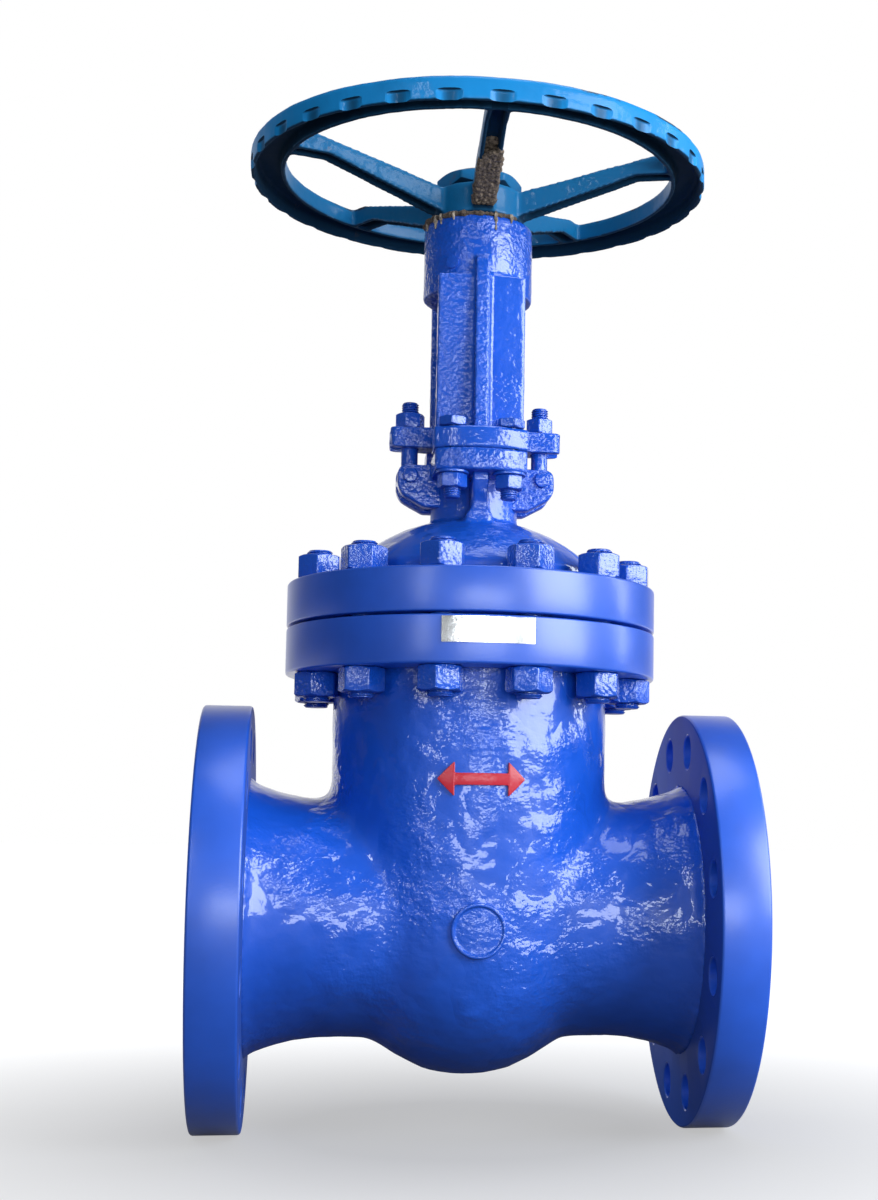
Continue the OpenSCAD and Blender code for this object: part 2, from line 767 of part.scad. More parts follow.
// Gland flange with two slotted ears for the eye bolts
module gland_flange() {
    slot_r = bolt_d / 2 + eyebolt_room;
    color(paint) at_stem() difference() {
        union() {
            bar(gland_d / 2, gland_z, gland_top);
            translate([-gland_reach, -gland_ear_w / 2, gland_z])
                cube([2 * gland_reach, gland_ear_w, gland_t]);
        }
        bar(stem_r + gland_stem_room, gland_z - cut, gland_top + cut);
        both_sides() {
            translate([eyebolt_x, 0, 0]) bar(slot_r, gland_z - cut, gland_top + cut);
            translate([eyebolt_x, -slot_r, gland_z - cut])
                cube([gland_reach, 2 * slot_r, gland_t + 2 * cut]);
        }
    }
}

module gland_eyebolts() {
    color(paint) at_stem() both_sides() translate([eyebolt_x, 0, 0]) difference() {
        union() {
            bar(bolt_d / 2, pin_z, eyebolt_top);
            translate([0, 0, pin_z]) rotate([90, 0, 0]) cylinder(d = eye_d, h = eye_t, center = true);
        }
        translate([0, 0, pin_z]) rotate([90, 0, 0]) cylinder(d = pin_d, h = 2 * eye_t, center = true);
    }
}

module eyebolt_pins() {
    color(paint) at_stem() both_sides() translate([eyebolt_x, 0, pin_z]) rotate([90, 0, 0]) {
        translate([0, 0, -lug_out - pin_end]) cylinder(d = pin_d, h = 2 * lug_out + pin_end);
        translate([0, 0, lug_out]) cylinder(d = pin_d + 2 * pin_rim, h = pin_head_t);
    }
}

module eyebolt_nuts() {
    color(paint) at_stem() both_sides() translate([eyebolt_x, 0, 0])
        nut(bolt_af, bolt_d, gland_top, gland_top + eye_nut_h);
}

module leg_rib() {
    leg_mid = leg_in + leg_t / 2;
    leg_out = leg_in + leg_t;
    rib_top = collar_z + leg_rib_lap;
    translate([-leg_rib_w / 2, 0, 0]) rotate([90, 0, 90])
        linear_extrude(height = leg_rib_w)
            polygon([[leg_mid, foot_top - cut], [leg_out + leg_rib_foot, foot_top - cut],
                [leg_out + leg_rib_top, rib_top - leg_rib_slope], [leg_out - leg_t / 4, rib_top],
                [leg_mid, rib_top]]);
}

// Cast yoke: two feet, two ribbed legs and the collar that holds the bearings
module yoke() {
    color(paint) at_stem() difference() {
        union() {
            difference() {
                round_fronted(foot_w, yoke_joint, foot_top);
                translate([-foot_w, -foot_in, yoke_joint - cut])
                    cube([2 * foot_w, 2 * foot_in, foot_t + 2 * cut]);
            }
            front_and_back() {
                translate([-leg_w / 2, leg_in, foot_top - cut])
                    cube([leg_w, leg_t, window_h + leg_lap + cut]);
                leg_rib();
            }
            bar(collar_d / 2, collar_z, collar_top);
        }
        bar(nut_body_d / 2 + nut_room, collar_z - cut, collar_top + cut);
        bar(bearing_d / 2, lower_bearing_z, collar_top + cut);
        at_yoke_bolts() bar(bolt_hole_d / 2, yoke_joint - cut, foot_top + cut);
        grease_hole();
    }
}

module yoke_bolts() {
    low = flange_under - washer_t - bolt_nut_h - bolt_end;
    color(paint) at_stem() at_yoke_bolts() {
        bar(bolt_d / 2, low, foot_top);
        hexagon(bolt_af, foot_top, foot_top + bolt_head_h);
    }
}

module yoke_washers() {
    color(paint) at_stem() at_yoke_bolts()
        ring(washer_d / 2, bolt_d / 2, flange_under - washer_t, flange_under);
}

module yoke_nuts() {
    nut_top = flange_under - washer_t;
    color(paint) at_stem() at_yoke_bolts() nut(bolt_af, bolt_d, nut_top - bolt_nut_h, nut_top);
}

module thrust_bearings() {
    inner_r = nut_body_d / 2 + nut_room;
    color(bright_steel) at_stem() {
        ring(bearing_d / 2, inner_r, lower_bearing_z, lower_bearing_z + bearing_t);
        ring(bearing_d / 2, inner_r, upper_bearing_z, upper_bearing_z + bearing_t);
    }
}

module bearing_cap() {
    color("dimgray") at_stem() ring(bearing_d / 2, nut_body_d / 2 + nut_room, cap_z, cap_top);
}

// Box of the key between the stem nut and the hub
module key_box() {
    translate([wheel_seat_r - key_in, -key_w / 2, wheel_z])
        cube([key_in + key_out, key_w, wheel_hub_h]);
}

// Bronze nut that carries the stem's thread and turns with the handwheel
module stem_nut() {
    color(bronze) at_stem() difference() {
        rotate_extrude() polygon([[stem_hole_r, nut_bottom], [nut_body_d / 2, nut_bottom],
            [nut_body_d / 2, nut_flange_z], [nut_flange_d / 2, nut_flange_z],
            [nut_flange_d / 2, nut_flange_z + nut_flange_t],
            [nut_body_d / 2, nut_flange_z + nut_flange_t], [nut_body_d / 2, wheel_z],
            [wheel_seat_r, wheel_z], [wheel_seat_r, stem_nut_top], [stem_hole_r, stem_nut_top]]);
        key_box();
    }
}

module wheel_key() {
    color(bright_steel) at_stem() key_box();
}

// Side outline of a spoke as [radius, height], lowered by drop along its top
module spoke_outline(inner, drop, low) {
    knee_r = rim_in_r - spoke_level_l;
    top_knee_r = rim_in_r - spoke_level_l / 2;
    polygon([[inner, wheel_z + spoke_foot_lift - low], [knee_r, rim_z + rim_step - low],
        [rim_in_r + wheel_wall / 2, rim_z + rim_step - low],
        [rim_in_r + wheel_wall / 2, rim_top - drop], [top_knee_r, rim_top - drop],
        [inner, wheel_hub_top - spoke_top_drop - drop]]);
}

// Spoke with a channel section that is open below
module spoke() {
    hub_r = wheel_hub_d / 2;
    difference() {
        translate([0, spoke_w / 2, 0]) rotate([90, 0, 0])
            linear_extrude(height = spoke_w) spoke_outline((wheel_seat_r + hub_r) / 2, 0, 0);
        translate([0, spoke_w / 2 - wheel_wall, 0]) rotate([90, 0, 0])
            linear_extrude(height = spoke_w - 2 * wheel_wall)
                spoke_outline(hub_r + wheel_wall, wheel_wall, 4 * wheel_wall);
    }
}

// Handwheel: hub, channel spokes and a channel rim that is open below
module handwheel() {
    color(wheel_paint) at_stem() difference() {
        union() {
            bar(wheel_hub_d / 2, wheel_z, wheel_hub_top);
            for (i = [0 : spoke_count - 1]) rotate([0, 0, i * 360 / spoke_count - 90]) spoke();
            ring(wheel_r, rim_in_r, rim_top - wheel_wall, rim_top);
            ring(wheel_r, wheel_r - wheel_wall, rim_z, rim_top);
            ring(rim_in_r + wheel_wall, rim_in_r, rim_z + rim_step, rim_top);
        }
        bar(wheel_seat_r, wheel_z - cut, wheel_hub_top + cut);
        key_box();
    }
}

module handwheel_nut() {
    color(bright_steel) at_stem() nut(wheel_nut_af, wheel_seat_d, wheel_hub_top, wheel_nut_top);
}

module grease_hole() {
    rotate([0, 0, -plug_angle]) translate([0, -bearing_d / 2, collar_z + plug_lift])
        rotate([90, 0, 0]) cylinder(d = plug_d, h = bearing_d);
}

module grease_plug() {
    color("darkslategray") at_stem() intersection() {
        grease_hole();
        ring(collar_d / 2 + plug_h, bearing_d / 2 + cut, collar_z, collar_top);
    }
}

// Angle that a length covers on the edge of the body flange
function edge_angle(l) = l / (big_flange_r * PI) * 180;

module nameplate() {
    z0 = body_top - plate_drop - plate_h;
    color(bright_steel) at_stem() rotate([0, 0, -90 - edge_angle(plate_l / 2)])
        rotate_extrude(angle = edge_angle(plate_l))
            translate([big_flange_r, z0]) square([plate_t, plate_h]);
}

module nameplate_rivets() {
    color("gray") at_stem() for (side = [-1, 1])
        rotate([0, 0, side * edge_angle(plate_l / 2 - rivet_inset)])
            translate([0, -big_flange_r - plate_t, body_top - plate_drop - plate_h / 2])
                rotate([90, 0, 0]) cylinder(d = rivet_d, h = rivet_h);
}

valve_body();
inlet_flange();
outlet_flange();
seat_ring_inlet();
seat_ring_outlet();
wedge();
stem();
bonnet_gasket();
bonnet();
backseat_bushing();
bonnet_studs();
bonnet_nuts_upper();
bonnet_nuts_lower();
packing();
gland_follower();
gland_flange();
gland_eyebolts();
eyebolt_pins();
eyebolt_nuts();
yoke();
yoke_bolts();
yoke_washers();
yoke_nuts();
thrust_bearings();
bearing_cap();
stem_nut();
wheel_key();
handwheel();
handwheel_nut();
grease_plug();
nameplate();
nameplate_rivets();
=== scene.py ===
import math

import bmesh
import bpy
from mathutils import Matrix, Vector, noise


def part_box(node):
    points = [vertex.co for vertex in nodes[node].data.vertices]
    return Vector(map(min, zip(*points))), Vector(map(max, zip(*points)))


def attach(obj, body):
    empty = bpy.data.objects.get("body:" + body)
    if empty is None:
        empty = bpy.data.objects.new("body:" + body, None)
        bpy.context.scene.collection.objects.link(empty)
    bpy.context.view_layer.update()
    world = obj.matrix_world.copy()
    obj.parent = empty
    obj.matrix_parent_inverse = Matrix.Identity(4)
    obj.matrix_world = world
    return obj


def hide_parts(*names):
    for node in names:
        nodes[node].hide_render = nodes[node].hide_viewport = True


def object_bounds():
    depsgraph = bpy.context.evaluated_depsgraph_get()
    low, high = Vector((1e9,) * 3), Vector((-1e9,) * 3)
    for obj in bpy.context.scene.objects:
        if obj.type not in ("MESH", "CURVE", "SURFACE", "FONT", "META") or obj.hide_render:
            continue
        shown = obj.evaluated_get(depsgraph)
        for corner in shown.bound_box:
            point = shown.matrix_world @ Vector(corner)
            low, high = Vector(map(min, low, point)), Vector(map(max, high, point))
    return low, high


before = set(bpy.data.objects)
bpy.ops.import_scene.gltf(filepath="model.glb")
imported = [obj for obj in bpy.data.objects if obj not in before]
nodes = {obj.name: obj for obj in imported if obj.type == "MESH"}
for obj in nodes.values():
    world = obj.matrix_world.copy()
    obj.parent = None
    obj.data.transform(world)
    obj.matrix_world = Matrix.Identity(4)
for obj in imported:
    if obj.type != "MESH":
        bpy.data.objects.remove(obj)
cad_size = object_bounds()
stem_x = sum(corner.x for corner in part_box("stem")) / 2
floor_z = cad_size[0][2]

# ---- Camera ----
# It stands low in front of the valve, a little to the inlet side, and looks slightly up at it. The
# lens is shifted, so that the valve stands upright and to the right of the middle.
eye = Vector((0.1107, -1.8922, 0.0897))
pan, tilt, roll = math.radians(9.284), math.radians(5.278), math.radians(0.631)
ahead = Vector((math.sin(pan) * math.cos(tilt), math.cos(pan) * math.cos(tilt), math.sin(tilt)))
level = Vector((math.cos(pan), -math.sin(pan), 0))
rightward = Matrix.Rotation(-roll, 3, ahead) @ level
aim = Matrix((rightward, rightward.cross(ahead), -ahead)).transposed().to_4x4()
camera_data = bpy.data.cameras.new("camera")
camera_data.lens = 54.25
camera_data.shift_x, camera_data.shift_y = -0.14, 0.0546
camera = bpy.data.objects.new("camera", camera_data)
camera.matrix_world = Matrix.Translation(eye) @ aim
bpy.context.scene.collection.objects.link(camera)
bpy.context.scene.camera = camera
bpy.context.scene.view_settings.view_transform = "Standard"


# ---- Floor, backdrop and lamps ----
# A plain pale floor runs out into a white backdrop and keeps the valve's soft shadow, and its light is
# painted dimmer near the valve as a painted shadow round it. Soft boxes stand above, in front and at
# both sides, and two that gloss doesn't mirror light it from behind.
def adder(tree):
    """A function that adds a node to a tree, with its settings and inputs."""
    def add(kind, settings=None, **inputs):
        made = tree.nodes.new("ShaderNode" + kind)
        for key, value in (settings or {}).items():
            setattr(made, key, value)
        for key, value in inputs.items():
            socket = made.inputs[int(key[1:])] if key[1:].isdigit() else made.inputs[key.replace("_", " ")]
            if isinstance(value, bpy.types.NodeSocket):
                plug(value, socket)
            else:
                socket.default_value = value
        return made
    return add


def plug(socket_from, socket_to):
    """Links two sockets of one node tree."""
    socket_to.id_data.links.new(socket_from, socket_to)


def shader(name):
    """A new material, its surface shader, and the function that adds its nodes."""
    material = bpy.data.materials.new(name)
    material.use_nodes = True
    tree = material.node_tree
    return material, tree.nodes["Principled BSDF"], adder(tree)


def combined(add, operation, first, *others):
    """One number made of several, taken in turn by a Math operation."""
    for other in others:
        first = add("Math", {"operation": operation}, i0=first, i1=other).outputs[0]
    return first


def between(add, value, start, end, low=0.0, high=1.0):
    """A number that goes from low to high while the value goes from start to end."""
    return add("MapRange", Value=value, From_Min=start, From_Max=end, To_Min=low, To_Max=high).outputs[0]


def moved(bm, shift):
    """The shape, moved."""
    bmesh.ops.translate(bm, verts=bm.verts, vec=shift)
    return bm


def as_mesh(bm, name="part"):
    """The shape as a mesh. The bmesh is freed."""
    mesh = bpy.data.meshes.new(name)
    bm.to_mesh(mesh)
    bm.free()
    return mesh


floor_shape = bmesh.new()
bmesh.ops.create_grid(floor_shape, x_segments=1, y_segments=1, size=30)
floor = bpy.data.objects.new("floor", as_mesh(moved(floor_shape, (stem_x, 0, floor_z)), "floor"))
bpy.context.scene.collection.objects.link(floor)
floor_paint, floor_surface, add = shader("floor_paint")
floor_surface.inputs["Base Color"].default_value = (0.11, 0.11, 0.12, 1)
floor_surface.inputs["Roughness"].default_value = 0.9
floor_surface.inputs["Emission Color"].default_value = (1, 1, 1, 1)
spot = add("TexCoord").outputs["Object"]
reach = add("VectorMath", {"operation": "DISTANCE"}, i0=spot, i1=(stem_x, 0, floor_z)).outputs["Value"]
# Painted shadow: the floor's emission is weaker near the valve, both to the camera and in the valve's glossy
# underside.
glow_with_painted_shadow = between(add, reach, 0.18, 1.0, 0.45)
behind = between(add, add("SeparateXYZ", Vector=spot).outputs["Y"], 0.3, 1.3, 0.12)
rays = add("LightPath").outputs
mirrored = combined(add, "MAXIMUM", rays["Is Glossy Ray"], rays["Is Transmission Ray"])
mirrored = combined(add, "MULTIPLY", mirrored, behind)
seen = combined(add, "MAXIMUM", rays["Is Camera Ray"], mirrored)
plug(combined(add, "MULTIPLY", seen, glow_with_painted_shadow), floor_surface.inputs["Emission Strength"])
floor.data.materials.append(floor_paint)

world = bpy.data.worlds.new("studio")
world.use_nodes = True
bpy.context.scene.world = world
add = adder(world.node_tree)
ambient = world.node_tree.nodes["Background"]
ambient.inputs["Color"].default_value = (0.80, 0.86, 1.0, 1)
ambient.inputs["Strength"].default_value = 0.015
rays = add("LightPath").outputs
toward = add("SeparateXYZ", Vector=add("TexCoord").outputs["Generated"]).outputs["Y"]
brightness = combined(add, "MAXIMUM", rays["Is Camera Ray"], between(add, toward, 0.70, 1.0, 0.10))
white = add("Background", Color=(1, 1, 1, 1), Strength=brightness)
shown = combined(add, "MAXIMUM", rays["Is Camera Ray"], rays["Is Glossy Ray"], rays["Is Transmission Ray"])
backdrop = add("MixShader", i0=shown, i1=ambient.outputs[0], i2=white.outputs[0])
plug(backdrop.outputs[0], world.node_tree.nodes["World Output"].inputs["Surface"])

for name, place, aim_z, width, height, watts, mirrored in (
        ("left_window", (-0.95, -1.90, 0.95), 0.60, 0.12, 1.6, 9, True),
        ("right_window", (1.85, -1.40, 0.95), 0.60, 1.35, 1.6, 66, True),
        ("front_window", (0.40, -2.6, 0.34), 0.2, 1.3, 0.50, 19, True),
        ("top_box", (0.5, -0.3, 2.3), 0.3, 1.4, 1.0, 15, True),
        ("far_side", (2.4, 0.3, 1.0), 0.3, 0.25, 1.4, 11, True),
        ("back_left", (-1.5, 2.0, 1.1), 0.3, 1.4, 1.6, 38, False),
        ("back_right", (1.7, 2.2, 1.1), 0.3, 1.4, 1.6, 32, False)):
    lamp = bpy.data.lights.new(name, "AREA")
    lamp.shape, lamp.size, lamp.size_y, lamp.energy = "RECTANGLE", width, height, watts
    lamp.color = (0.87, 0.94, 1.0)
    soft_box = bpy.data.objects.new(name, lamp)
    soft_box.location = place
    soft_box.visible_glossy = mirrored
    soft_box.rotation_euler = (Vector((stem_x, 0, aim_z)) - Vector(place)).to_track_quat("-Z", "Y").to_euler()
    bpy.context.scene.collection.objects.link(soft_box)


# ---- Valve body ----
# One steel casting: a round-bottomed barrel, two pipe necks with hubs, and a rough sand-cast skin
# under thick glossy blue enamel. The barrel is bored through for the flow and hollow for the wedge.
def turned(profile, axis="Z", steps=96, closed=False):
    """A shape turned about the stem or pipe axis from [radius, place along the axis, rounding] corners."""
    bm = bmesh.new()
    corners = [bm.verts.new((stem_x + c[0], 0, c[1]) if axis == "Z" else (c[1], 0, c[0])) for c in profile]
    for a, b in zip(corners, corners[1:] + corners[:1] if closed else corners[1:]):
        bm.edges.new((a, b))
    for size in sorted({c[2] for c in profile if len(c) > 2}):
        chosen = [v for v, c in zip(corners, profile) if len(c) > 2 and c[2] == size]
        bmesh.ops.bevel(bm, geom=chosen, offset=size, offset_type="OFFSET", affect="VERTICES",
                        segments=max(3, min(24, round(size / 0.003))), profile=0.5, material=-1)
    bmesh.ops.spin(bm, geom=bm.verts[:] + bm.edges[:], angle=math.tau, steps=steps, use_merge=True,
                   cent=(stem_x, 0, 0), axis=(0, 0, 1) if axis == "Z" else (1, 0, 0), dvec=(0, 0, 0))
    bmesh.ops.remove_doubles(bm, verts=bm.verts, dist=1e-6)
    bmesh.ops.recalc_face_normals(bm, faces=bm.faces)
    return bm


def bar(radius, low, high, steps=96):
    """A plain round bar on the stem axis."""
    return turned([(0, low), (radius, low), (radius, high), (0, high)], steps=steps)


def together(*shapes):
    """All these shapes in one."""
    whole = bmesh.new()
    for shape in shapes:
        mesh = as_mesh(shape)
        whole.from_mesh(mesh)
        bpy.data.meshes.remove(mesh)
    return whole


def modified(bm, kind, **settings):
    """The shape after one modifier, which is applied."""
    mesh = as_mesh(bm)
    carrier = bpy.data.objects.new("part", mesh)
    bpy.context.scene.collection.objects.link(carrier)
    modifier = carrier.modifiers.new(kind, kind)
    for key, value in settings.items():
        setattr(modifier, key, value)
    result = bpy.data.meshes.new_from_object(carrier.evaluated_get(bpy.context.evaluated_depsgraph_get()))
    bpy.data.objects.remove(carrier)
    bpy.data.meshes.remove(mesh)
    out = bmesh.new()
    out.from_mesh(result)
    bpy.data.meshes.remove(result)
    return out


def smoothed(bm, verts, rounds):
    """The shape with some of its corners eased, round by round."""
    for _ in range(rounds):
        bmesh.ops.smooth_vert(bm, verts=verts, factor=0.5, use_axis_x=True, use_axis_y=True, use_axis_z=True)
    return bm


def fused(bm, grain, rounds):
    """The overlapping shapes as one skin of this grain, eased all over."""
    skin = modified(bm, "REMESH", mode="VOXEL", voxel_size=grain)
    return smoothed(skin, skin.verts, rounds)


def cut(bm, cutter, how="DIFFERENCE"):
    """The shape less a cutter, or joined with it, or what the two share."""
    mesh = as_mesh(cutter)
    tool = bpy.data.objects.new("cutter", mesh)
    bpy.context.scene.collection.objects.link(tool)
    out = modified(bm, "BOOLEAN", operation=how, solver="MANIFOLD", object=tool)
    bpy.data.objects.remove(tool)
    bpy.data.meshes.remove(mesh)
    return out


def sliced(bm, place, facing, clear=True):
    """Slices the shape along a plane, and clears what lies beyond it."""
    bmesh.ops.bisect_plane(bm, geom=bm.verts[:] + bm.edges[:] + bm.faces[:], plane_co=place, plane_no=facing,
                           clear_outer=clear)


def capped(bm):
    """Closes the shape where it is open."""
    bmesh.ops.holes_fill(bm, edges=[e for e in bm.edges if e.is_boundary])


def roughened(bm, *waves):
    """Moves the skin in and out by [height, length] waves, as a sand mould leaves it."""
    aside, per_height = Vector((7, 3, 5)), 9e3
    bm.normal_update()
    moves = [(v, v.normal * sum(height * noise.noise(v.co / length + aside * height * per_height)
                                for height, length in waves)) for v in bm.verts]
    for v, move in moves:
        v.co += move
    return bm


def piece(bm, name, material, stands_for=(), body="valve", crease=32):
    """Finishes a piece: shades and paints it, and sets it to ride on its body."""
    bmesh.ops.triangulate(bm, faces=[f for f in bm.faces if len(f.verts) > 4])
    mesh = as_mesh(bm, name)
    mesh.shade_smooth()
    mesh.set_sharp_from_angle(angle=math.radians(crease))
    mesh.materials.append(material)
    made = bpy.data.objects.new(name, mesh)
    bpy.context.scene.collection.objects.link(made)
    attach(made, body)
    if stands_for:
        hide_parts(*stands_for)


def clouds(add, spot, scale, detail, roughness):
    """Cloudy noise over the surface."""
    return add("TexNoise", Vector=spot, Scale=scale, Detail=detail, Roughness=roughness).outputs[0]


def tinted(add, share, under, over):
    """A colour with a share of another laid over it."""
    return add("Mix", {"data_type": "RGBA"}, i0=share, i6=under, i7=(*over, 1)).outputs[2]


def enamel(name, colour, waves, calm=0.35, gloss=0.08, sheen=0.32, shine=0.4, coat=0.9, wear=0.0, grime=0.5,
           thin=None, layer=None, skin=None):
    """Brushed gloss enamel over waves of [height, length, squash] in millimetres, which sink to calm
    in smooth patches, or as skin says. Gloss is how rough the clear coat is and coat its weight, and
    sheen and shine are the roughness and the strength of the paint's own gleam. Layer gives a further
    colour and how dull it is, grime darkens specks, and wear bares a thin colour along the edges."""
    material, surface, add = shader(name)
    surface.inputs["Specular IOR Level"].default_value = shine
    surface.inputs["Coat Weight"].default_value = coat
    surface.inputs["Coat Roughness"].default_value = gloss
    coords = add("TexCoord").outputs
    spot = coords["Object"]
    rough = between(add, clouds(add, spot, 13.0, 2.0, 0.5), 0.46, 0.62, calm)
    if skin:
        rough = skin(add, coords, rough)
    heights = []
    for height, length, squash in waves:
        drawn = add("Mapping", Vector=spot, Scale=(1, 1, squash)).outputs[0]
        heights.append(combined(add, "MULTIPLY", clouds(add, drawn, 1000.0 / length, 1.5, 0.4), height))
    relief = combined(add, "MULTIPLY", combined(add, "ADD", *heights), rough)
    for socket, depth in (("Normal", 0.0004), ("Coat Normal", 0.001)):
        plug(add("Bump", Strength=1.0, Distance=depth, Height=relief).outputs[0], surface.inputs[socket])
    drift = clouds(add, spot, 7.0, 4.0, 0.6)
    shades = add("ValToRGB", Fac=drift)
    deep, pale = shades.color_ramp.elements
    deep.position, pale.position = 0.30, 0.72
    deep.color = (*[c * 0.80 for c in colour], 1)
    pale.color = (*[min(1, c * 1.16 + 0.002) for c in colour], 1)
    hue, dull = shades.outputs[0], None
    if layer:
        hue, dull = layer(add, coords, hue)
    specks = between(add, clouds(add, spot, 55.0, 6.0, 0.7), 0.69, 0.76, 0.0, grime)
    hue = tinted(add, specks, hue, (0.030, 0.026, 0.03))
    if wear:
        eased = add("Bevel", {"samples": 4}, Radius=0.0012).outputs[0]
        flat = add("NewGeometry").outputs["Normal"]
        bend = add("VectorMath", {"operation": "DOT_PRODUCT"}, i0=eased, i1=flat).outputs["Value"]
        edge = between(add, bend, 0.97, 0.88)
        scuffs = between(add, clouds(add, spot, 45.0, 6.0, 0.75), 0.50, 0.60, 0.0, wear)
        worn = combined(add, "MULTIPLY", scuffs, edge)
        hue = tinted(add, worn, hue, thin or [c * 0.8 + 0.10 for c in colour])
    plug(hue, surface.inputs["Base Color"])
    satin = between(add, drift, 0.0, 1.0, sheen * 0.75, sheen * 1.4)
    if dull:
        satin = combined(add, "MAXIMUM", satin, dull)
        plug(between(add, dull, 0.0, 1.0, coat, 0.0), surface.inputs["Coat Weight"])
    plug(satin, surface.inputs["Roughness"])
    return material


def underside_shade(add, coords, hue):
    """Undersides, painted a darker blue as painted shade, with the clear coat dulled there."""
    facing = add("SeparateXYZ", Vector=coords["Normal"]).outputs["Z"]
    dull = between(add, facing, -0.30, -0.80, 0.0, 0.8)
    return tinted(add, dull, hue, (0.004, 0.055, 0.36)), dull


blue = (0.006, 0.090, 0.58)
# Its layer paints shade on the undersides.
cast_blue = enamel("cast_blue_enamel", blue, [(4.0, 30, 1.0), (2.6, 9, 1.5), (0.9, 3.0, 1)], calm=0.12,
                   gloss=0.06, layer=underside_shade)
barrel_radius, barrel_low, barrel_high, barrel_centre_z = 0.142, -0.158, 0.256, -0.016
neck_radius, hub_radius, hub_end_radius, hub_round, neck_round = 0.1205, 0.1355, 0.143, 0.006, 0.03
neck_ends, hub_ends, taper_ends = (0.050, 0.500), (0.058, 0.492), (0.102, 0.448)
bore_radius, bore_ends, pocket_radius, pocket_ends = 0.100, (-0.01, 0.56), 0.110, (0.213, 0.337)
room_radius, room_low, room_high = 0.122, 0.128, 0.30
slot_half, slot_low, slot_high = 0.050, -0.138, 0.129
fillet = 0.030
barrel = turned([(0, barrel_low), (barrel_radius, barrel_low, barrel_radius), (barrel_radius, barrel_high),
                 (0, barrel_high)], steps=120)
necks = turned([(0, neck_ends[0]), (hub_end_radius, neck_ends[0]), (hub_radius, hub_ends[0], hub_round),
                (neck_radius, taper_ends[0], neck_round), (neck_radius, taper_ends[1], neck_round),
                (hub_radius, hub_ends[1], hub_round), (hub_end_radius, neck_ends[1]), (0, neck_ends[1])],
               "X", 120)
casting = fused(together(barrel, necks), grain=0.003, rounds=2)
saddle = []
for v in casting.verts:
    from_barrel = math.hypot(v.co.x - stem_x, v.co.y, min(0, v.co.z - barrel_centre_z)) - barrel_radius
    from_neck = math.hypot(v.co.y, v.co.z) - neck_radius
    if abs(from_barrel) < fillet and abs(from_neck) < fillet:
        saddle.append(v)
roughened(smoothed(casting, saddle, 70), (0.0006, 0.045), (0.0004, 0.016), (0.00018, 0.007))
flow = turned([(0, bore_ends[0]), (bore_radius, bore_ends[0]), (bore_radius, pocket_ends[0]),
               (pocket_radius, pocket_ends[0]), (pocket_radius, pocket_ends[1]), (bore_radius, pocket_ends[1]),
               (bore_radius, bore_ends[1]), (0, bore_ends[1])], "X", 128)
slot = turned([(0, slot_low), (room_radius, slot_low, room_radius), (room_radius, slot_high), (0, slot_high)],
              steps=128)
for way in (-1, 1):
    sliced(slot, (stem_x + way * slot_half, 0, 0), (way, 0, 0))
    capped(slot)
for cutter in (flow, slot, bar(room_radius, room_low, room_high, 128)):
    casting = cut(casting, cutter)
piece(casting, "body_casting", cast_blue, ["valve_body"], crease=50)


# ---- End flanges ----
# Cast in one with the body, then turned and drilled: a smooth rim and back, a raised sealing face,
# and twelve holes for the bolts of the pipe. The backs are a darker blue, with the clear coat dulled.
def ring_of(count, radius):
    """Places evenly round a circle, the first one half a step from its start."""
    steps = [math.tau * (i + 0.5) / count for i in range(count)]
    return [(radius * math.cos(a), radius * math.sin(a)) for a in steps]


def spun(bm, degrees):
    """The shape, turned about the stem axis."""
    turn = Matrix.Rotation(math.radians(degrees), 3, "Z")
    bmesh.ops.rotate(bm, verts=bm.verts, cent=(stem_x, 0, 0), matrix=turn)
    return bm


def placed(bm, places, turns=None, axis="Z"):
    """A copy of the shape at each place across the axis, each turned on its own axis, all in one."""
    copies = []
    for i, (a, b) in enumerate(places):
        copy = spun(bm.copy(), turns[i]) if turns else bm.copy()
        copies.append(moved(copy, (a, b, 0) if axis == "Z" else (0, a, b)))
    bm.free()
    return together(*copies)


def drilled(bm, places, radius, low, high, axis="Z"):
    """The shape with a round hole of broken edges at each place across the axis."""
    edge, past = 0.001, 0.002
    wide = radius + edge + past
    bit = turned([(0, low - past), (wide, low - past), (radius, low + edge), (radius, high - edge),
                  (wide, high + past), (0, high + past)], axis, 32)
    return cut(bm, placed(bit, places, axis=axis))


def unsigned(add, value):
    """The number without its sign."""
    return add("Math", {"operation": "ABSOLUTE"}, i0=value).outputs[0]


def flange_backs(add, coords, hue):
    """The backs of the two end flanges, in a darker blue and with the clear coat dulled."""
    facing = unsigned(add, add("SeparateXYZ", Vector=coords["Normal"]).outputs["X"])
    along = add("SeparateXYZ", Vector=coords["Object"]).outputs["X"]
    reach = unsigned(add, combined(add, "SUBTRACT", along, stem_x))
    dull = combined(add, "MULTIPLY", between(add, facing, 0.70, 0.90, 0.0, 0.85),
                    between(add, reach, 0.236, 0.230), between(add, reach, 0.210, 0.215))
    return tinted(add, dull, hue, (0.004, 0.055, 0.34)), dull


machined_blue = enamel("machined_blue_enamel", blue, [(0.35, 40, 1), (0.10, 3.0, 1)], gloss=0.28, sheen=0.45,
                       shine=0.5, coat=1.0, wear=0.5, layer=flange_backs)
rim_radius, face_radius, bolt_hole, pipe_bolts = 0.215, 0.1425, 0.018, ring_of(12, 0.180)
for name, back, front, face in (("outlet_flange", 0.498, 0.547, 0.550), ("inlet_flange", 0.052, 0.003, 0.0)):
    disc = turned([(bore_radius, back), (rim_radius, back, 0.003), (rim_radius, front, 0.003),
                   (face_radius, front), (face_radius, face, 0.0008), (bore_radius, face, 0.001)],
                  "X", 144, closed=True)
    disc = drilled(disc, pipe_bolts, bolt_hole, min(back, front), max(back, front), "X")
    piece(disc, name + "_casting", machined_blue, [name])


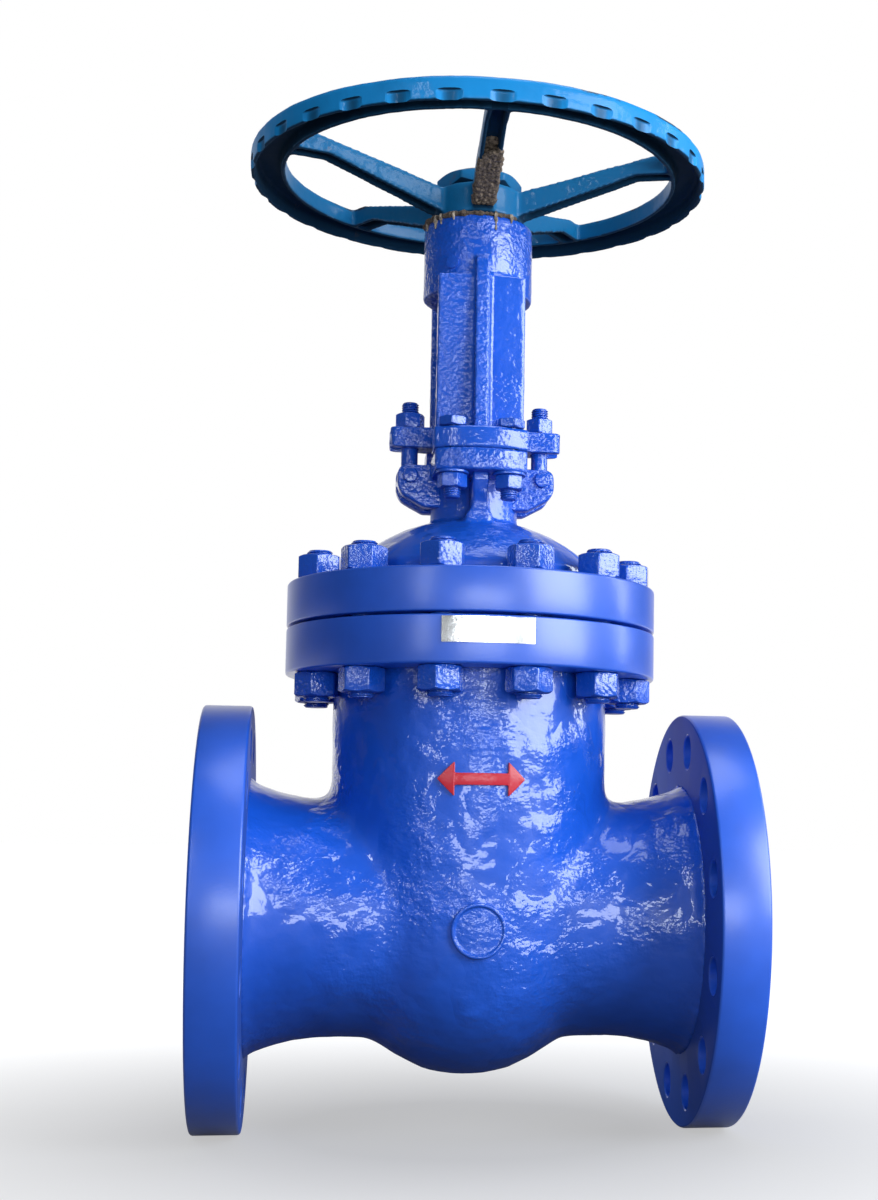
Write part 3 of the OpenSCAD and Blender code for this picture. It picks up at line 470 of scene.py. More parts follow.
# ---- Body flange ----
# The top of the body casting, turned smooth round its edge and drilled for the bonnet studs.
# The bonnet's own flange, its partner across the gasket, is made in the same way.
def big_flange(bore, low, high, low_edge, high_edge):
    """One of the two flanges that the studs hold together, with its outer edges rounded."""
    disc = turned([(bore, low), (flange_radius, low, low_edge), (flange_radius, high, high_edge),
                   (bore, high)], steps=160, closed=True)
    return drilled(disc, stud_places, stud_hole, low, high)


flange_radius, stud_hole, stud_places = 0.192, 0.015, ring_of(12, 0.16502)
body_flange_low, body_flange_high = 0.248, 0.295
disc = big_flange(0.1225, body_flange_low, body_flange_high, low_edge=0.0025, high_edge=0.0018)
piece(disc, "body_flange_casting", machined_blue, ["valve_body"])


# ---- Raised marks ----
# Cast on the front of the barrel: a double arrow along the pipe, brushed red, because the valve
# closes against flow from either side, and a plain round pad.
def plate(outline, low, high, across="Z", rounding=0.0, corners=None):
    """A plate square to one axis of the valve, its outline measured from the stem axis."""
    bm = bmesh.new()
    turn_to = {"X": lambda a, b: (stem_x + low, a, b), "Y": lambda a, b: (stem_x + a, low, b),
               "Z": lambda a, b: (stem_x + a, b, low)}[across]
    points = [bm.verts.new(turn_to(a, b)) for a, b in outline]
    for a, b in zip(points, points[1:] + points[:1]):
        bm.edges.new((a, b))
    if rounding:
        bmesh.ops.bevel(bm, geom=[points[i] for i in corners] if corners else points, offset=rounding,
                        offset_type="OFFSET", affect="VERTICES", segments=5, profile=0.5, material=-1)
    bmesh.ops.contextual_create(bm, geom=bm.edges[:])
    grown = bmesh.ops.extrude_face_region(bm, geom=bm.faces[:])["geom"]
    step = Vector({"X": (1, 0, 0), "Y": (0, 1, 0), "Z": (0, 0, 1)}[across]) * (high - low)
    bmesh.ops.translate(bm, verts=[g for g in grown if isinstance(g, bmesh.types.BMVert)], vec=step)
    bmesh.ops.recalc_face_normals(bm, faces=bm.faces)
    return bm


def softened(bm, size, angle=25, segments=2):
    """The shape with its sharper edges rounded, as castings and thick paint leave them."""
    sharp = [e for e in bm.edges if len(e.link_faces) == 2 and e.calc_face_angle(0) > math.radians(angle)]
    bmesh.ops.bevel(bm, geom=sharp, offset=size, offset_type="OFFSET", affect="EDGES", segments=segments,
                    profile=0.5, material=-1, clamp_overlap=True)
    return bm


def on_barrel(bm, height):
    """Bends a flat mark, drawn square to Y with its back at 0, round the front of the barrel at a height."""
    for i in range(-24, 25):
        sliced(bm, (stem_x + i * 0.0025, 0, 0), (1, 0, 0), clear=False)
    for v in bm.verts:
        round_to, out = (v.co.x - stem_x) / barrel_radius, barrel_radius - v.co.y
        v.co.x, v.co.y = stem_x + out * math.sin(round_to), -out * math.cos(round_to)
    return moved(bm, (0, 0, height))


def laid_forward(bm, across=0.0, height=0.0):
    """The shape, turned from the stem axis to point at the front, and moved across and up."""
    turn = Matrix.Rotation(math.radians(90), 3, "X")
    bmesh.ops.rotate(bm, verts=bm.verts, cent=(stem_x, 0, 0), matrix=turn)
    return moved(bm, (across, 0, height))


red = enamel("red_enamel", (0.56, 0.016, 0.035), [(0.8, 7, 1), (0.2, 3.0, 1)], gloss=0.24, shine=0.2,
             coat=0.4, wear=0.5)
tip, barb, barb_half, shaft_half = 0.043, 0.026, 0.017, 0.0058
arrow_back, arrow_front, arrow_z = -0.0028, 0.0015, 0.140
arrow = plate([(-tip, 0), (-barb, barb_half), (-barb, shaft_half), (barb, shaft_half), (barb, barb_half),
               (tip, 0), (barb, -barb_half), (barb, -shaft_half), (-barb, -shaft_half), (-barb, -barb_half)],
              arrow_back, arrow_front, "Y", rounding=0.0016)
piece(on_barrel(softened(arrow, 0.0012, 50, 3), arrow_z), "flow_arrows", red)
pad_radius, pad_back, pad_front, dish_front, pad_z = 0.027, -0.002, 0.0030, 0.0010, -0.006
pad = turned([(0, pad_back), (pad_radius, pad_back), (pad_radius, pad_front, 0.0016),
              (0.0238, pad_front, 0.0010), (0.0226, dish_front, 0.0010), (0, dish_front)], steps=72)
piece(on_barrel(laid_forward(pad), pad_z), "round_pad", cast_blue)


# ---- Seats, wedge and gasket ----
# Stainless seat rings pressed into the body, the forged wedge that closes on them with a ground
# ring on each face, and the graphite of the gasket under the bonnet and of the stem's packing.
def metal(name, colour, rough, grain=(1, 1, 1), grain_scale=400.0, depth=0.02, stain=None, stain_share=0.3):
    """Bare metal with its tool marks, dulled in patches and stained where oil or rust sits."""
    material, surface, add = shader(name)
    surface.inputs["Metallic"].default_value = 1.0
    spot = add("TexCoord").outputs["Object"]
    lines = clouds(add, add("Mapping", Vector=spot, Scale=grain).outputs[0], grain_scale, 3.0, 0.6)
    plug(add("Bump", Strength=depth * 10, Distance=0.0004, Height=lines).outputs[0], surface.inputs["Normal"])
    patches = clouds(add, spot, 26.0, 5.0, 0.65)
    plug(between(add, patches, 0.3, 0.7, rough * 0.75, rough * 1.35), surface.inputs["Roughness"])
    stained = between(add, patches, 0.55 - 0.25 * stain_share, 0.85 - 0.25 * stain_share)
    hue = tinted(add, stained, (*colour, 1), stain or [c * 0.55 for c in colour])
    plug(hue, surface.inputs["Base Color"])
    return material


def painted(material, *names):
    """Gives a new finish to nodes that keep their solids."""
    for name in names:
        nodes[name].data.materials.clear()
        nodes[name].data.materials.append(material)


seat_steel = metal("ground_seat_steel", (0.60, 0.60, 0.61), 0.20, grain=(1, 0.2, 0.2), grain_scale=600.0)
painted(seat_steel, "seat_ring_inlet", "seat_ring_outlet", "wedge")
graphite = metal("graphite_filler", (0.09, 0.09, 0.10), 0.45, grain=(1, 1, 6), grain_scale=300.0, depth=0.05)
painted(graphite, "bonnet_gasket", "packing")


# ---- Stem ----
# Greased stainless bar with a T-shaped head in the wedge, a back seat cone, and a left-hand
# trapezoidal thread at its top that the turning stem nut draws up.
def threaded(radius, pitch, low, high, steps=20, hand=1, root=0.12, crest=(0.44, 0.60), deep=0.6):
    """A threaded bar on the stem axis between two heights, its ends chamfered. Root, crest and deep
    are the end of the groove's floor, the two ends of the crest and the depth, in pitches."""
    bm = bmesh.new()
    inner = radius - deep * pitch
    turns = [(inner, 0.0), (inner, root), (radius, crest[0]), (radius, crest[1])]
    chain = [bm.verts.new((stem_x + r, 0, low + (i - 2 + up) * pitch))
             for i in range(int((high - low) / pitch) + 4) for r, up in turns]
    for a, b in zip(chain, chain[1:]):
        bm.edges.new((a, b))
    bmesh.ops.spin(bm, geom=bm.verts[:] + bm.edges[:], angle=math.tau, steps=steps, cent=(stem_x, 0, 0),
                   axis=(0, 0, 1), dvec=(0, 0, hand * pitch / steps))
    bmesh.ops.remove_doubles(bm, verts=bm.verts, dist=1e-5)
    sliced(bm, (0, 0, low), (0, 0, -1))
    sliced(bm, (0, 0, high), (0, 0, 1))
    capped(bm)
    bmesh.ops.recalc_face_normals(bm, faces=bm.faces)
    slope, past = deep * pitch * 1.3, 1e-4
    ends = turned([(0, low - past), (radius - slope, low - past), (radius + past, low + slope),
                   (radius + past, high - slope), (radius - slope, high + past), (0, high + past)], steps=64)
    return cut(bm, ends, "INTERSECT")


def rectangle(x_from, x_to, y_from, y_to):
    """The four corners of a plain plate."""
    return [(x_from, y_from), (x_to, y_from), (x_to, y_to), (x_from, y_to)]


stem_steel = metal("greased_stem_steel", (0.44, 0.435, 0.43), 0.32, grain=(1, 1, 0.15), grain_scale=500.0,
                   stain=(0.15, 0.105, 0.065), stain_share=0.8)
stem_radius, stem_pitch, thread_start, stem_end = 0.022, 0.008, 0.540, 0.795
head_long, head_wide, head_low, head_high = 0.025, 0.031, 0.1055, 0.1255
throat_radius, throat_low, relief_radius, relief_high = 0.018, 0.115, 0.0175, 0.541
back_seat_radius, back_seat_low, back_seat_high = 0.029, 0.142, 0.150
head = plate(rectangle(-head_long, head_long, -head_wide, head_wide), head_low, head_high, rounding=0.004)
shank = turned([(0, throat_low), (throat_radius, throat_low), (throat_radius, back_seat_low),
                (back_seat_radius, back_seat_low, 0.001), (back_seat_radius, back_seat_high),
                (stem_radius, 0.157), (stem_radius, 0.530), (relief_radius, 0.5345),
                (relief_radius, relief_high), (0, relief_high)], steps=64)
thread = threaded(stem_radius, stem_pitch, thread_start, stem_end, steps=48, hand=-1, root=0.22,
                  crest=(0.37, 0.85), deep=0.5)
spindle = cut(cut(head, shank, "UNION"), thread, "UNION")
piece(spindle, "stem_bar", stem_steel, ["stem"], "stem_and_wedge", crease=40)


# ---- Bonnet ----
# A second steel casting: the dome, the neck of the stuffing box with its two ribs, the top flange
# that carries the yoke, and a pair of cheeks on each side for the eye bolts.
def globe(radius, around, upward):
    """A ball round the centre of the dome."""
    bm = bmesh.new()
    bmesh.ops.create_uvsphere(bm, u_segments=around, v_segments=upward, radius=radius,
                              matrix=Matrix.Translation((stem_x, 0, 0.2327)))
    return bm


# Its layer paints shade on the undersides too.
rough_blue = enamel("rough_cast_blue_enamel", blue, [(4.0, 9.0, 1), (3.2, 3.8, 1)], calm=0.45, gloss=0.05,
                    sheen=0.25, coat=1.0, grime=0.7, layer=underside_shade)
bonnet_flange_low, bonnet_flange_high, mouth_radius = 0.298, 0.342, 0.117
dome_radius, dome_foot_radius, inside_radius = 0.184, 0.1345, 0.160
box_neck_radius, box_radius, boss_radius, under_seat_radius, stem_hole = 0.046, 0.032, 0.044, 0.034, 0.0235
rib_half, rib_foot_half, rib_foot_high = 0.0085, 0.0135, 0.425
top_low, top_high, top_radius, top_half = 0.454, 0.477, 0.094, 0.0475
eye_x, pin_z, pin_radius = 0.069, 0.458, 0.0065
yoke_bolt_places = [(x, y) for x in (-0.029, 0.029) for y in (-0.077, 0.077)]
yoke_bolt_hole = 0.0105
cheek_lows, cheek_thickness = (-0.027, 0.011), 0.016
dome = cut(globe(dome_radius, 128, 96), bar(dome_foot_radius, 0.338, 0.45, 128), "INTERSECT")
ribs = plate([(-0.078, 0.458), (0.078, 0.458), (0.078, 0.448), (0.060, 0.414), (0.060, 0.400),
              (-0.060, 0.400), (-0.060, 0.414), (-0.078, 0.448)], -rib_half, rib_half, "X")
rib_foot = plate(rectangle(-0.066, 0.066, rib_foot_high, 0.39), -rib_foot_half, rib_foot_half, "X")
shoulders = [e for e in rib_foot.edges if min(v.co.z for v in e.verts) > 0.42
             and abs(e.verts[0].co.y - e.verts[1].co.y) > 0.1]
bmesh.ops.bevel(rib_foot, geom=shoulders, offset=0.0115, offset_type="OFFSET", affect="EDGES", segments=4,
                profile=0.3, material=-1)
low_part = fused(together(dome, bar(box_neck_radius, 0.36, 0.460), ribs, rib_foot), grain=0.0024, rounds=3)
roughened(low_part, (0.0005, 0.030), (0.00025, 0.010))
low_part = cut(low_part, bar(mouth_radius, 0.33, 0.3418))
hollow = cut(globe(inside_radius, 96, 64), bar(mouth_radius, 0.30, 0.45), "INTERSECT")
low_part = cut(low_part, cut(hollow, bar(boss_radius, 0.3605, 0.45, 64)))
stuffing_box = turned([(0, 0.34), (under_seat_radius, 0.34), (under_seat_radius, 0.4005), (stem_hole, 0.4005),
                       (stem_hole, 0.418), (box_radius, 0.418), (box_radius, 0.49), (0, 0.49)], steps=64)
low_part = cut(low_part, stuffing_box)
piece(low_part, "bonnet_dome", cast_blue, ["bonnet"], crease=50)
cheeks = []
for way in (-1, 1):
    for low in cheek_lows:
        outline = [(way * x, z) for x, z in ((0.030, 0.425), (0.054, 0.425), (0.082, 0.440), (0.082, 0.470),
                                             (0.030, 0.470))]
        cheeks.append(plate(outline, low, low + cheek_thickness, "Y", rounding=0.0095, corners=(2, 3)))
top = turned([(0, top_low), (top_radius, top_low, 0.0025), (top_radius, top_high, 0.0012), (0, top_high)],
             steps=128)
top = cut(top, plate(rectangle(-top_half, top_half, -0.1, 0.1), 0.44, 0.49), "INTERSECT")
rib_tops = plate(rectangle(-rib_half, rib_half, -0.07, 0.07), 0.445, 0.458)
top = roughened(fused(together(top, rib_tops, *cheeks), grain=0.0016, rounds=4), (0.0002, 0.014))
top = cut(drilled(top, yoke_bolt_places, yoke_bolt_hole, top_low, top_high), bar(box_radius, 0.43, 0.49))
pin_holes = [laid_forward(bar(pin_radius, -0.05, 0.05, 32), way * eye_x, pin_z) for way in (-1, 1)]
piece(cut(top, together(*pin_holes)), "bonnet_top_flange", rough_blue, ["bonnet"], crease=50)
disc = big_flange(0.1165, bonnet_flange_low, bonnet_flange_high, low_edge=0.0018, high_edge=0.0025)
piece(disc, "bonnet_flange_casting", machined_blue, ["bonnet"])


# ---- Bonnet studs and nuts ----
# Fully threaded stud bolts through the two flanges, with a heavy hexagon nut at each end, which
# stands as the spanner left it. They are all painted over with the valve.
def hex_nut(across, low, high, bore=0.0):
    """A hexagon nut or bolt head on the stem axis, chamfered at both ends and thick with paint."""
    radius = across / math.sqrt(3)
    bm = bmesh.new()
    middle = Matrix.Translation((stem_x, 0, (low + high) / 2)) @ Matrix.Rotation(math.pi / 6, 4, "Z")
    bmesh.ops.create_cone(bm, cap_ends=True, segments=6, radius1=radius, radius2=radius, depth=high - low,
                          matrix=middle)
    upright = [e for e in bm.edges if abs(e.verts[0].co.z - e.verts[1].co.z) > 1e-4]
    bmesh.ops.bevel(bm, geom=upright, offset=across * 0.028, offset_type="OFFSET", affect="EDGES", segments=3,
                    profile=0.5, material=-1)
    rim, slope = across * 0.475, across * 0.09
    wide = rim + slope * 1.8
    chamfers = turned([(bore, low), (rim, low), (wide, low + slope), (wide, high - slope), (rim, high),
                       (bore, high)], steps=72, closed=bore > 0)
    return softened(cut(bm, chamfers, "INTERSECT"), across * 0.008, 20)


# Its layer paints shade on the undersides too.
nut_blue = enamel("fastener_blue_enamel", blue, [(1.2, 9, 1), (1.6, 3.4, 1)], calm=0.6, gloss=0.05,
                  sheen=0.25, coat=1.0, wear=0.3, grime=0.7, layer=underside_shade)
stud_radius, stud_pitch, stud_low, stud_high = 0.0135, 0.003, 0.218, 0.372
big_nut, big_bore, upper_nut_high, lower_nut_low = 0.041, 0.0134, 0.367, 0.223
studs = placed(threaded(stud_radius, stud_pitch, stud_low, stud_high), stud_places, range(0, 360, 30))
piece(studs, "stud_bolts", nut_blue, ["bonnet_studs"], crease=40)
upper = placed(hex_nut(big_nut, bonnet_flange_high, upper_nut_high, big_bore), stud_places,
               [12, 47, 3, 31, 58, 20, 23, 47, 18, 43, 20, 16])
piece(upper, "upper_stud_nuts", nut_blue, ["bonnet_nuts_upper"])
lower = placed(hex_nut(big_nut, lower_nut_low, body_flange_low, big_bore), stud_places, range(15, 360, 30))
piece(lower, "lower_stud_nuts", nut_blue, ["bonnet_nuts_lower"])

# ---- Gland ----
# A cast flange presses the bronze follower onto the packing. Two eye bolts, hung on pins between
# the bonnet's cheeks, lie in its open slots and pull it down with a nut each.
bronze = metal("bronze", (0.52, 0.27, 0.10), 0.34, grain=(1, 1, 3), grain_scale=300.0, depth=0.03,
               stain=(0.16, 0.10, 0.05), stain_share=0.6)
painted(bronze, "gland_follower", "backseat_bushing")
gland_low, gland_high, gland_nut_high, eyebolt_high = 0.490, 0.512, 0.528, 0.540
ear_long, ear_half, gland_radius, gland_bore = 0.090, 0.017, 0.036, 0.026
ear_slot_start, ear_slot_half, ear_slot_round = 0.059, 0.010, 0.0098
bolt_radius, bolt_pitch, bolt_root, nut_across, nut_bore = 0.009, 0.0025, 0.0074, 0.027, 0.0088
ring_bore, ring_radius, ring_half = 0.0066, 0.014, 0.010
pin_back, pin_shoulder, pin_tip, pin_head_radius = -0.030, 0.0265, 0.031, 0.008
ears = plate(rectangle(-ear_long, ear_long, -ear_half, ear_half), gland_low, gland_high, rounding=0.008)
gland = fused(together(ears, bar(gland_radius, gland_low, gland_high)), grain=0.0012, rounds=4)
gland = cut(roughened(gland, (0.0004, 0.016), (0.0002, 0.006)), bar(gland_bore, 0.48, 0.52, 48))
for way in (-1, 1):
    outline = rectangle(way * ear_slot_start, way * 0.12, -ear_slot_half, ear_slot_half)
    gland = cut(gland, plate(outline, 0.48, 0.52, rounding=ear_slot_round, corners=(0, 3)))
piece(gland, "gland_casting", rough_blue, ["gland_flange"], crease=50)
for way, name in ((-1, "inlet_side"), (1, "outlet_side")):
    ring = turned([(ring_bore, -ring_half), (ring_radius, -ring_half, 0.002), (ring_radius, ring_half, 0.002),
                   (ring_bore, ring_half)], steps=48, closed=True)
    shank = turned([(0, 0.469), (nut_bore, 0.469), (nut_bore, 0.500), (bolt_root, 0.5015), (bolt_root, 0.503),
                    (0, 0.503)], steps=48)
    shank = cut(shank, threaded(bolt_radius, bolt_pitch, 0.502, eyebolt_high), "UNION")
    eyebolt = moved(cut(laid_forward(ring, height=pin_z), shank, "UNION"), (way * eye_x, 0, 0))
    piece(eyebolt, "eyebolt_" + name, nut_blue, ["gland_eyebolts"], crease=40)
    pin = turned([(0, pin_back), (pin_radius, pin_back, 0.001), (pin_radius, pin_shoulder),
                  (pin_head_radius, pin_shoulder, 0.0008), (pin_head_radius, pin_tip, 0.0016), (0, pin_tip)],
                 steps=48)
    piece(laid_forward(pin, way * eye_x, pin_z), "pin_" + name, nut_blue, ["eyebolt_pins"], crease=40)
gland_nuts = hex_nut(nut_across, gland_high, gland_nut_high, nut_bore)
piece(placed(gland_nuts, [(-eye_x, 0), (eye_x, 0)], [8, 20]), "gland_nuts", nut_blue, ["eyebolt_nuts"])


# ---- Yoke ----
# One casting: two feet bolted to the bonnet, two crowned legs with a rib down the middle, and the
# round collar that holds the stem nut's bearings. Its skin is the valve's roughest, on the inlet
# side of each leg most of all.
def rougher_inlet_side(add, coords, rough):
    """Calms the skin on the outlet half of the legs, where the mould was smoother."""
    across, _, height = add("SeparateXYZ", Vector=coords["Object"]).outputs
    leg = combined(add, "MULTIPLY", between(add, height, 0.700, 0.670), between(add, height, 0.500, 0.504))
    rough = combined(add, "MAXIMUM", rough, combined(add, "MULTIPLY", leg, 0.7))
    calm = combined(add, "MULTIPLY", leg, between(add, across, stem_x + 0.004, stem_x + 0.012))
    calm = add("Math", {"operation": "MULTIPLY_ADD"}, i0=calm, i1=-0.78, i2=1.0).outputs[0]
    return combined(add, "MULTIPLY", rough, calm)


# Its layer paints shade on the undersides too.
yoke_blue = enamel("yoke_blue_enamel", blue, [(3.6, 9.0, 1), (3.4, 3.6, 1)], calm=0.16, gloss=0.05,
                   sheen=0.25, coat=0.9, grime=0.7, layer=underside_shade, skin=rougher_inlet_side)
foot_high, foot_half, window_half = 0.500, 0.0485, 0.0415
leg_low, leg_high, leg_half, leg_inside, leg_outside, crown_radius = 0.499, 0.667, 0.0455, 0.043, 0.060, 0.300
collar_radius, collar_low, collar_high = 0.0577, 0.652, 0.733
nut_hole, bearing_hole, bearing_low = 0.0345, 0.046, 0.673
feet = turned([(0, top_high), (top_radius, top_high, 0.0012), (top_radius, foot_high, 0.0035),
               (0, foot_high)], steps=128)
feet = cut(feet, plate(rectangle(-foot_half, foot_half, -0.1, 0.1), 0.44, 0.52), "INTERSECT")
feet = cut(feet, plate(rectangle(-0.06, 0.06, -window_half, window_half), 0.44, 0.52))
parts = [feet, turned([(0, collar_low), (collar_radius, collar_low, 0.002), (collar_radius, collar_high, 0.005),
                       (0, collar_high)])]
for way in (-1, 1):
    near, far = sorted((way * leg_inside, way * leg_outside))
    leg = plate(rectangle(-leg_half, leg_half, near, far), leg_low, leg_high)
    crown = moved(bar(crown_radius, 0.49, 0.68, 300), (0, -way * (crown_radius - leg_outside), 0))
    rib = ((0.050, 0.499), (0.080, 0.499), (0.065, 0.682), (0.056, 0.690), (0.050, 0.690))
    parts += [cut(leg, crown, "INTERSECT"), plate([(way * y, z) for y, z in rib], -0.0075, 0.0075, "X")]
yoke = roughened(fused(together(*parts), grain=0.0018, rounds=2), (0.0003, 0.022), (0.00025, 0.0070))
bearing_seat = turned([(0, 0.64), (nut_hole, 0.64), (nut_hole, bearing_low), (bearing_hole, bearing_low),
                       (bearing_hole, 0.74), (0, 0.74)])
yoke = cut(drilled(yoke, yoke_bolt_places, yoke_bolt_hole, top_high, foot_high), bearing_seat)
piece(yoke, "yoke_casting", yoke_blue, ["yoke"], crease=50)
bolt_head_high, shank_low, shank_high = 0.5095, 0.4264, 0.505
heads = placed(hex_nut(nut_across, foot_high, bolt_head_high), yoke_bolt_places, [20, 25, 45, 13])
shanks = placed(threaded(bolt_radius, bolt_pitch, shank_low, shank_high), yoke_bolt_places, [0, 140, 70, 200])
piece(together(heads, shanks), "yoke_foot_bolts", nut_blue, ["yoke_bolts"], crease=40)
washer_low, washer_high, washer_bore, washer_radius, foot_nut_low = 0.451, 0.4538, 0.0092, 0.017, 0.4364
washer = turned([(washer_bore, washer_low), (washer_radius, washer_low, 0.0008),
                 (washer_radius, washer_high, 0.0008), (washer_bore, washer_high)], steps=48, closed=True)
piece(placed(washer, yoke_bolt_places), "yoke_foot_washers", nut_blue, ["yoke_washers"])
nuts = placed(hex_nut(nut_across, foot_nut_low, washer_low, nut_bore), yoke_bolt_places, [44, 8, 21, 41])
piece(nuts, "yoke_foot_nuts", nut_blue, ["yoke_nuts"])

# ---- Stem nut, bearings and cap ----
# The bronze nut turns between two thrust bearings in the collar, held down by a steel cap ring.
# A steel key joins it to the handwheel.
race_steel = metal("bearing_steel", (0.42, 0.42, 0.43), 0.24, grain=(1, 1, 4), depth=0.03,
                   stain=(0.10, 0.08, 0.06), stain_share=0.7)
painted(race_steel, "thrust_bearings", "bearing_cap", "wheel_key")
painted(bronze, "stem_nut")

# ---- Handwheel ----
# Cast iron: a channel rim, open below, with finger notches round its lower outer edge, five channel
# spokes that rise from the hub to the rim, and a bored hub. Old cyan-blue paint, rubbed and dirty,
# with painted shade in the channels and on the undersides.
rim_outside, outer_wall, inner_wall, rim_inside = 0.242, 0.237, 0.211, 0.206
rim_low, inner_lip, rim_roof, rim_high = 0.778, 0.782, 0.798, 0.803
wheel_hub_radius, hub_bore, hub_low, hub_high = 0.046, 0.031, 0.738, 0.772
spoke_half, channel_half, spoke_end = 0.01175, 0.00675, 0.2085
notch_radius, notch_high, notch_circle = 0.027, 0.7895, 0.2655
rim = turned([(outer_wall, rim_low, 0.0012), (rim_outside, rim_low, 0.0015), (rim_outside, rim_high, 0.0045),
              (rim_inside, rim_high, 0.004), (rim_inside, inner_lip, 0.0012), (inner_wall, inner_lip, 0.0012),
              (inner_wall, rim_roof, 0.002), (outer_wall, rim_roof, 0.002)], steps=240, closed=True)
hub = turned([(0, hub_low), (wheel_hub_radius, hub_low, 0.002), (wheel_hub_radius, hub_high, 0.003),
              (0, hub_high)])
spokes = []
for i in range(5):
    spoke = plate([(0.030, 0.7394), (0.0385, 0.740), (0.171, inner_lip), (spoke_end, inner_lip),
                   (spoke_end, rim_high), (0.1885, rim_high), (0.0385, 0.768), (0.030, 0.767)],
                  -spoke_half, spoke_half, "Y")
    channel = plate([(0.051, 0.72), (0.171, 0.762), (spoke_end, 0.762), (spoke_end, rim_roof),
                     (0.1890, rim_roof), (0.051, 0.7659)], -channel_half, channel_half, "Y")
    spokes.append(cut(spun(spoke, 72 * i - 90), spun(channel, 72 * i - 90)))
wheel = fused(together(rim, hub, *spokes), grain=0.0021, rounds=3)
roughened(wheel, (0.0004, 0.030), (0.0002, 0.009))
notch = turned([(0, 0.76), (notch_radius, 0.76), (notch_radius, notch_high, 0.003), (0, notch_high)], steps=64)
wheel = cut(cut(wheel, placed(notch, ring_of(30, notch_circle))), bar(hub_bore, 0.72, 0.78, 64))


def wheel_grime_and_shade(add, coords, hue):
    """Grime on the hub, the spokes and the inside of the rim, with rust, and chips along the rim's
    crown. The channels and the undersides are painted near black as painted shade, with the coat dulled."""
    flat = add("Mapping", Vector=coords["Object"], Location=(-stem_x, 0, 0), Scale=(1, 1, 0)).outputs[0]
    reach = add("VectorMath", {"operation": "LENGTH"}, i0=flat).outputs["Value"]
    height = add("SeparateXYZ", Vector=coords["Object"]).outputs["Z"]
    facing = add("SeparateXYZ", Vector=coords["Normal"]).outputs["Z"]
    inward = between(add, reach, 0.2400, 0.2375)
    in_rim = combined(add, "MULTIPLY", between(add, reach, 0.2090, 0.2110), inward,
                      between(add, height, 0.7990, 0.7975))
    below = between(add, facing, -0.25, -0.75)
    east, north, _ = add("SeparateXYZ", Vector=flat).outputs
    bearing = combined(add, "ADD", combined(add, "ARCTAN2", north, east), math.radians(90))
    wrap = {"operation": "WRAP"}
    bearing = add("Math", wrap, i0=bearing, i1=math.radians(36), i2=math.radians(-36)).outputs[0]
    aside = combined(add, "MULTIPLY", add("Math", {"operation": "SINE"}, i0=bearing).outputs[0], reach)
    in_spoke = combined(add, "MULTIPLY", between(add, unsigned(add, aside), 0.0085, 0.0078),
                        between(add, reach, 0.0480, 0.0500), between(add, facing, 0.60, 0.40), inward)
    # Painted shade: the insides of the rim and spoke channels and all downward faces are tinted near black.
    dark = combined(add, "MAXIMUM", in_rim, below, in_spoke)
    crown = between(add, height, 0.7980, 0.8005)
    chips = between(add, clouds(add, coords["Object"], 13.0, 9.0, 0.72), 0.55, 0.60, 0.0, 0.9)
    rust = between(add, clouds(add, coords["Object"], 24.0, 8.0, 0.72), 0.64, 0.72, 0.0, 0.7)
    hue = tinted(add, inward, hue, (0.003, 0.135, 0.320))
    hue = tinted(add, dark, hue, (0.002, 0.030, 0.070))
    hue = tinted(add, combined(add, "MULTIPLY", chips, crown), hue, (0.022, 0.018, 0.016))
    hue = tinted(add, combined(add, "MULTIPLY", rust, inward), hue, (0.085, 0.060, 0.045))
    return hue, combined(add, "MULTIPLY", dark, 0.95)


wheel_cyan = enamel("wheel_cyan_enamel", (0.004, 0.225, 0.56), [(1.0, 12, 1), (0.5, 4.0, 1)], gloss=0.12,
                    sheen=0.45, shine=0.2, coat=0.22, wear=0.55, grime=0.6, thin=(0.012, 0.020, 0.028),
                    layer=wheel_grime_and_shade)
piece(wheel, "handwheel_casting", wheel_cyan, ["handwheel"], "wheel_and_nut", crease=45)
lock_across, lock_high, lock_bore = 0.080, 0.788, 0.0308
lock_nut = hex_nut(lock_across, hub_high, lock_high, lock_bore)
piece(lock_nut, "wheel_lock_nut", wheel_cyan, ["handwheel_nut"], "wheel_and_nut")


# ---- Old grease and mud ----
# Grease pressed out of the bearings has dried to a brown crust round the front of the collar, with
# a few paler drips. Mud is packed into the channel of the nearest spoke and spills over its edges.
def dried(name, dark, light):
    """Dull, crumbling dirt between two colours."""
    material, surface, add = shader(name)
    surface.inputs["Roughness"].default_value = 0.9
    crumbs = clouds(add, add("TexCoord").outputs["Object"], 330.0, 5.0, 0.65)
    plug(tinted(add, between(add, crumbs, 0.36, 0.62), (*dark, 1), light), surface.inputs["Base Color"])
    plug(add("Bump", Strength=1.0, Distance=0.002, Height=crumbs).outputs[0], surface.inputs["Normal"])
    return material


def lumps(places, grain):
    """Round lumps of [x, y, z, radius, tallness] run together."""
    balls = []
    for x, y, z, radius, tall in places:
        ball = bmesh.new()
        bmesh.ops.create_icosphere(ball, subdivisions=2, radius=radius)
        bmesh.ops.scale(ball, verts=ball.verts, vec=(1, 1, tall))
        balls.append(moved(ball, (stem_x + x, y, z)))
    return roughened(fused(together(*balls), grain, rounds=1), (0.0012, 0.004), (0.0006, 0.0018))


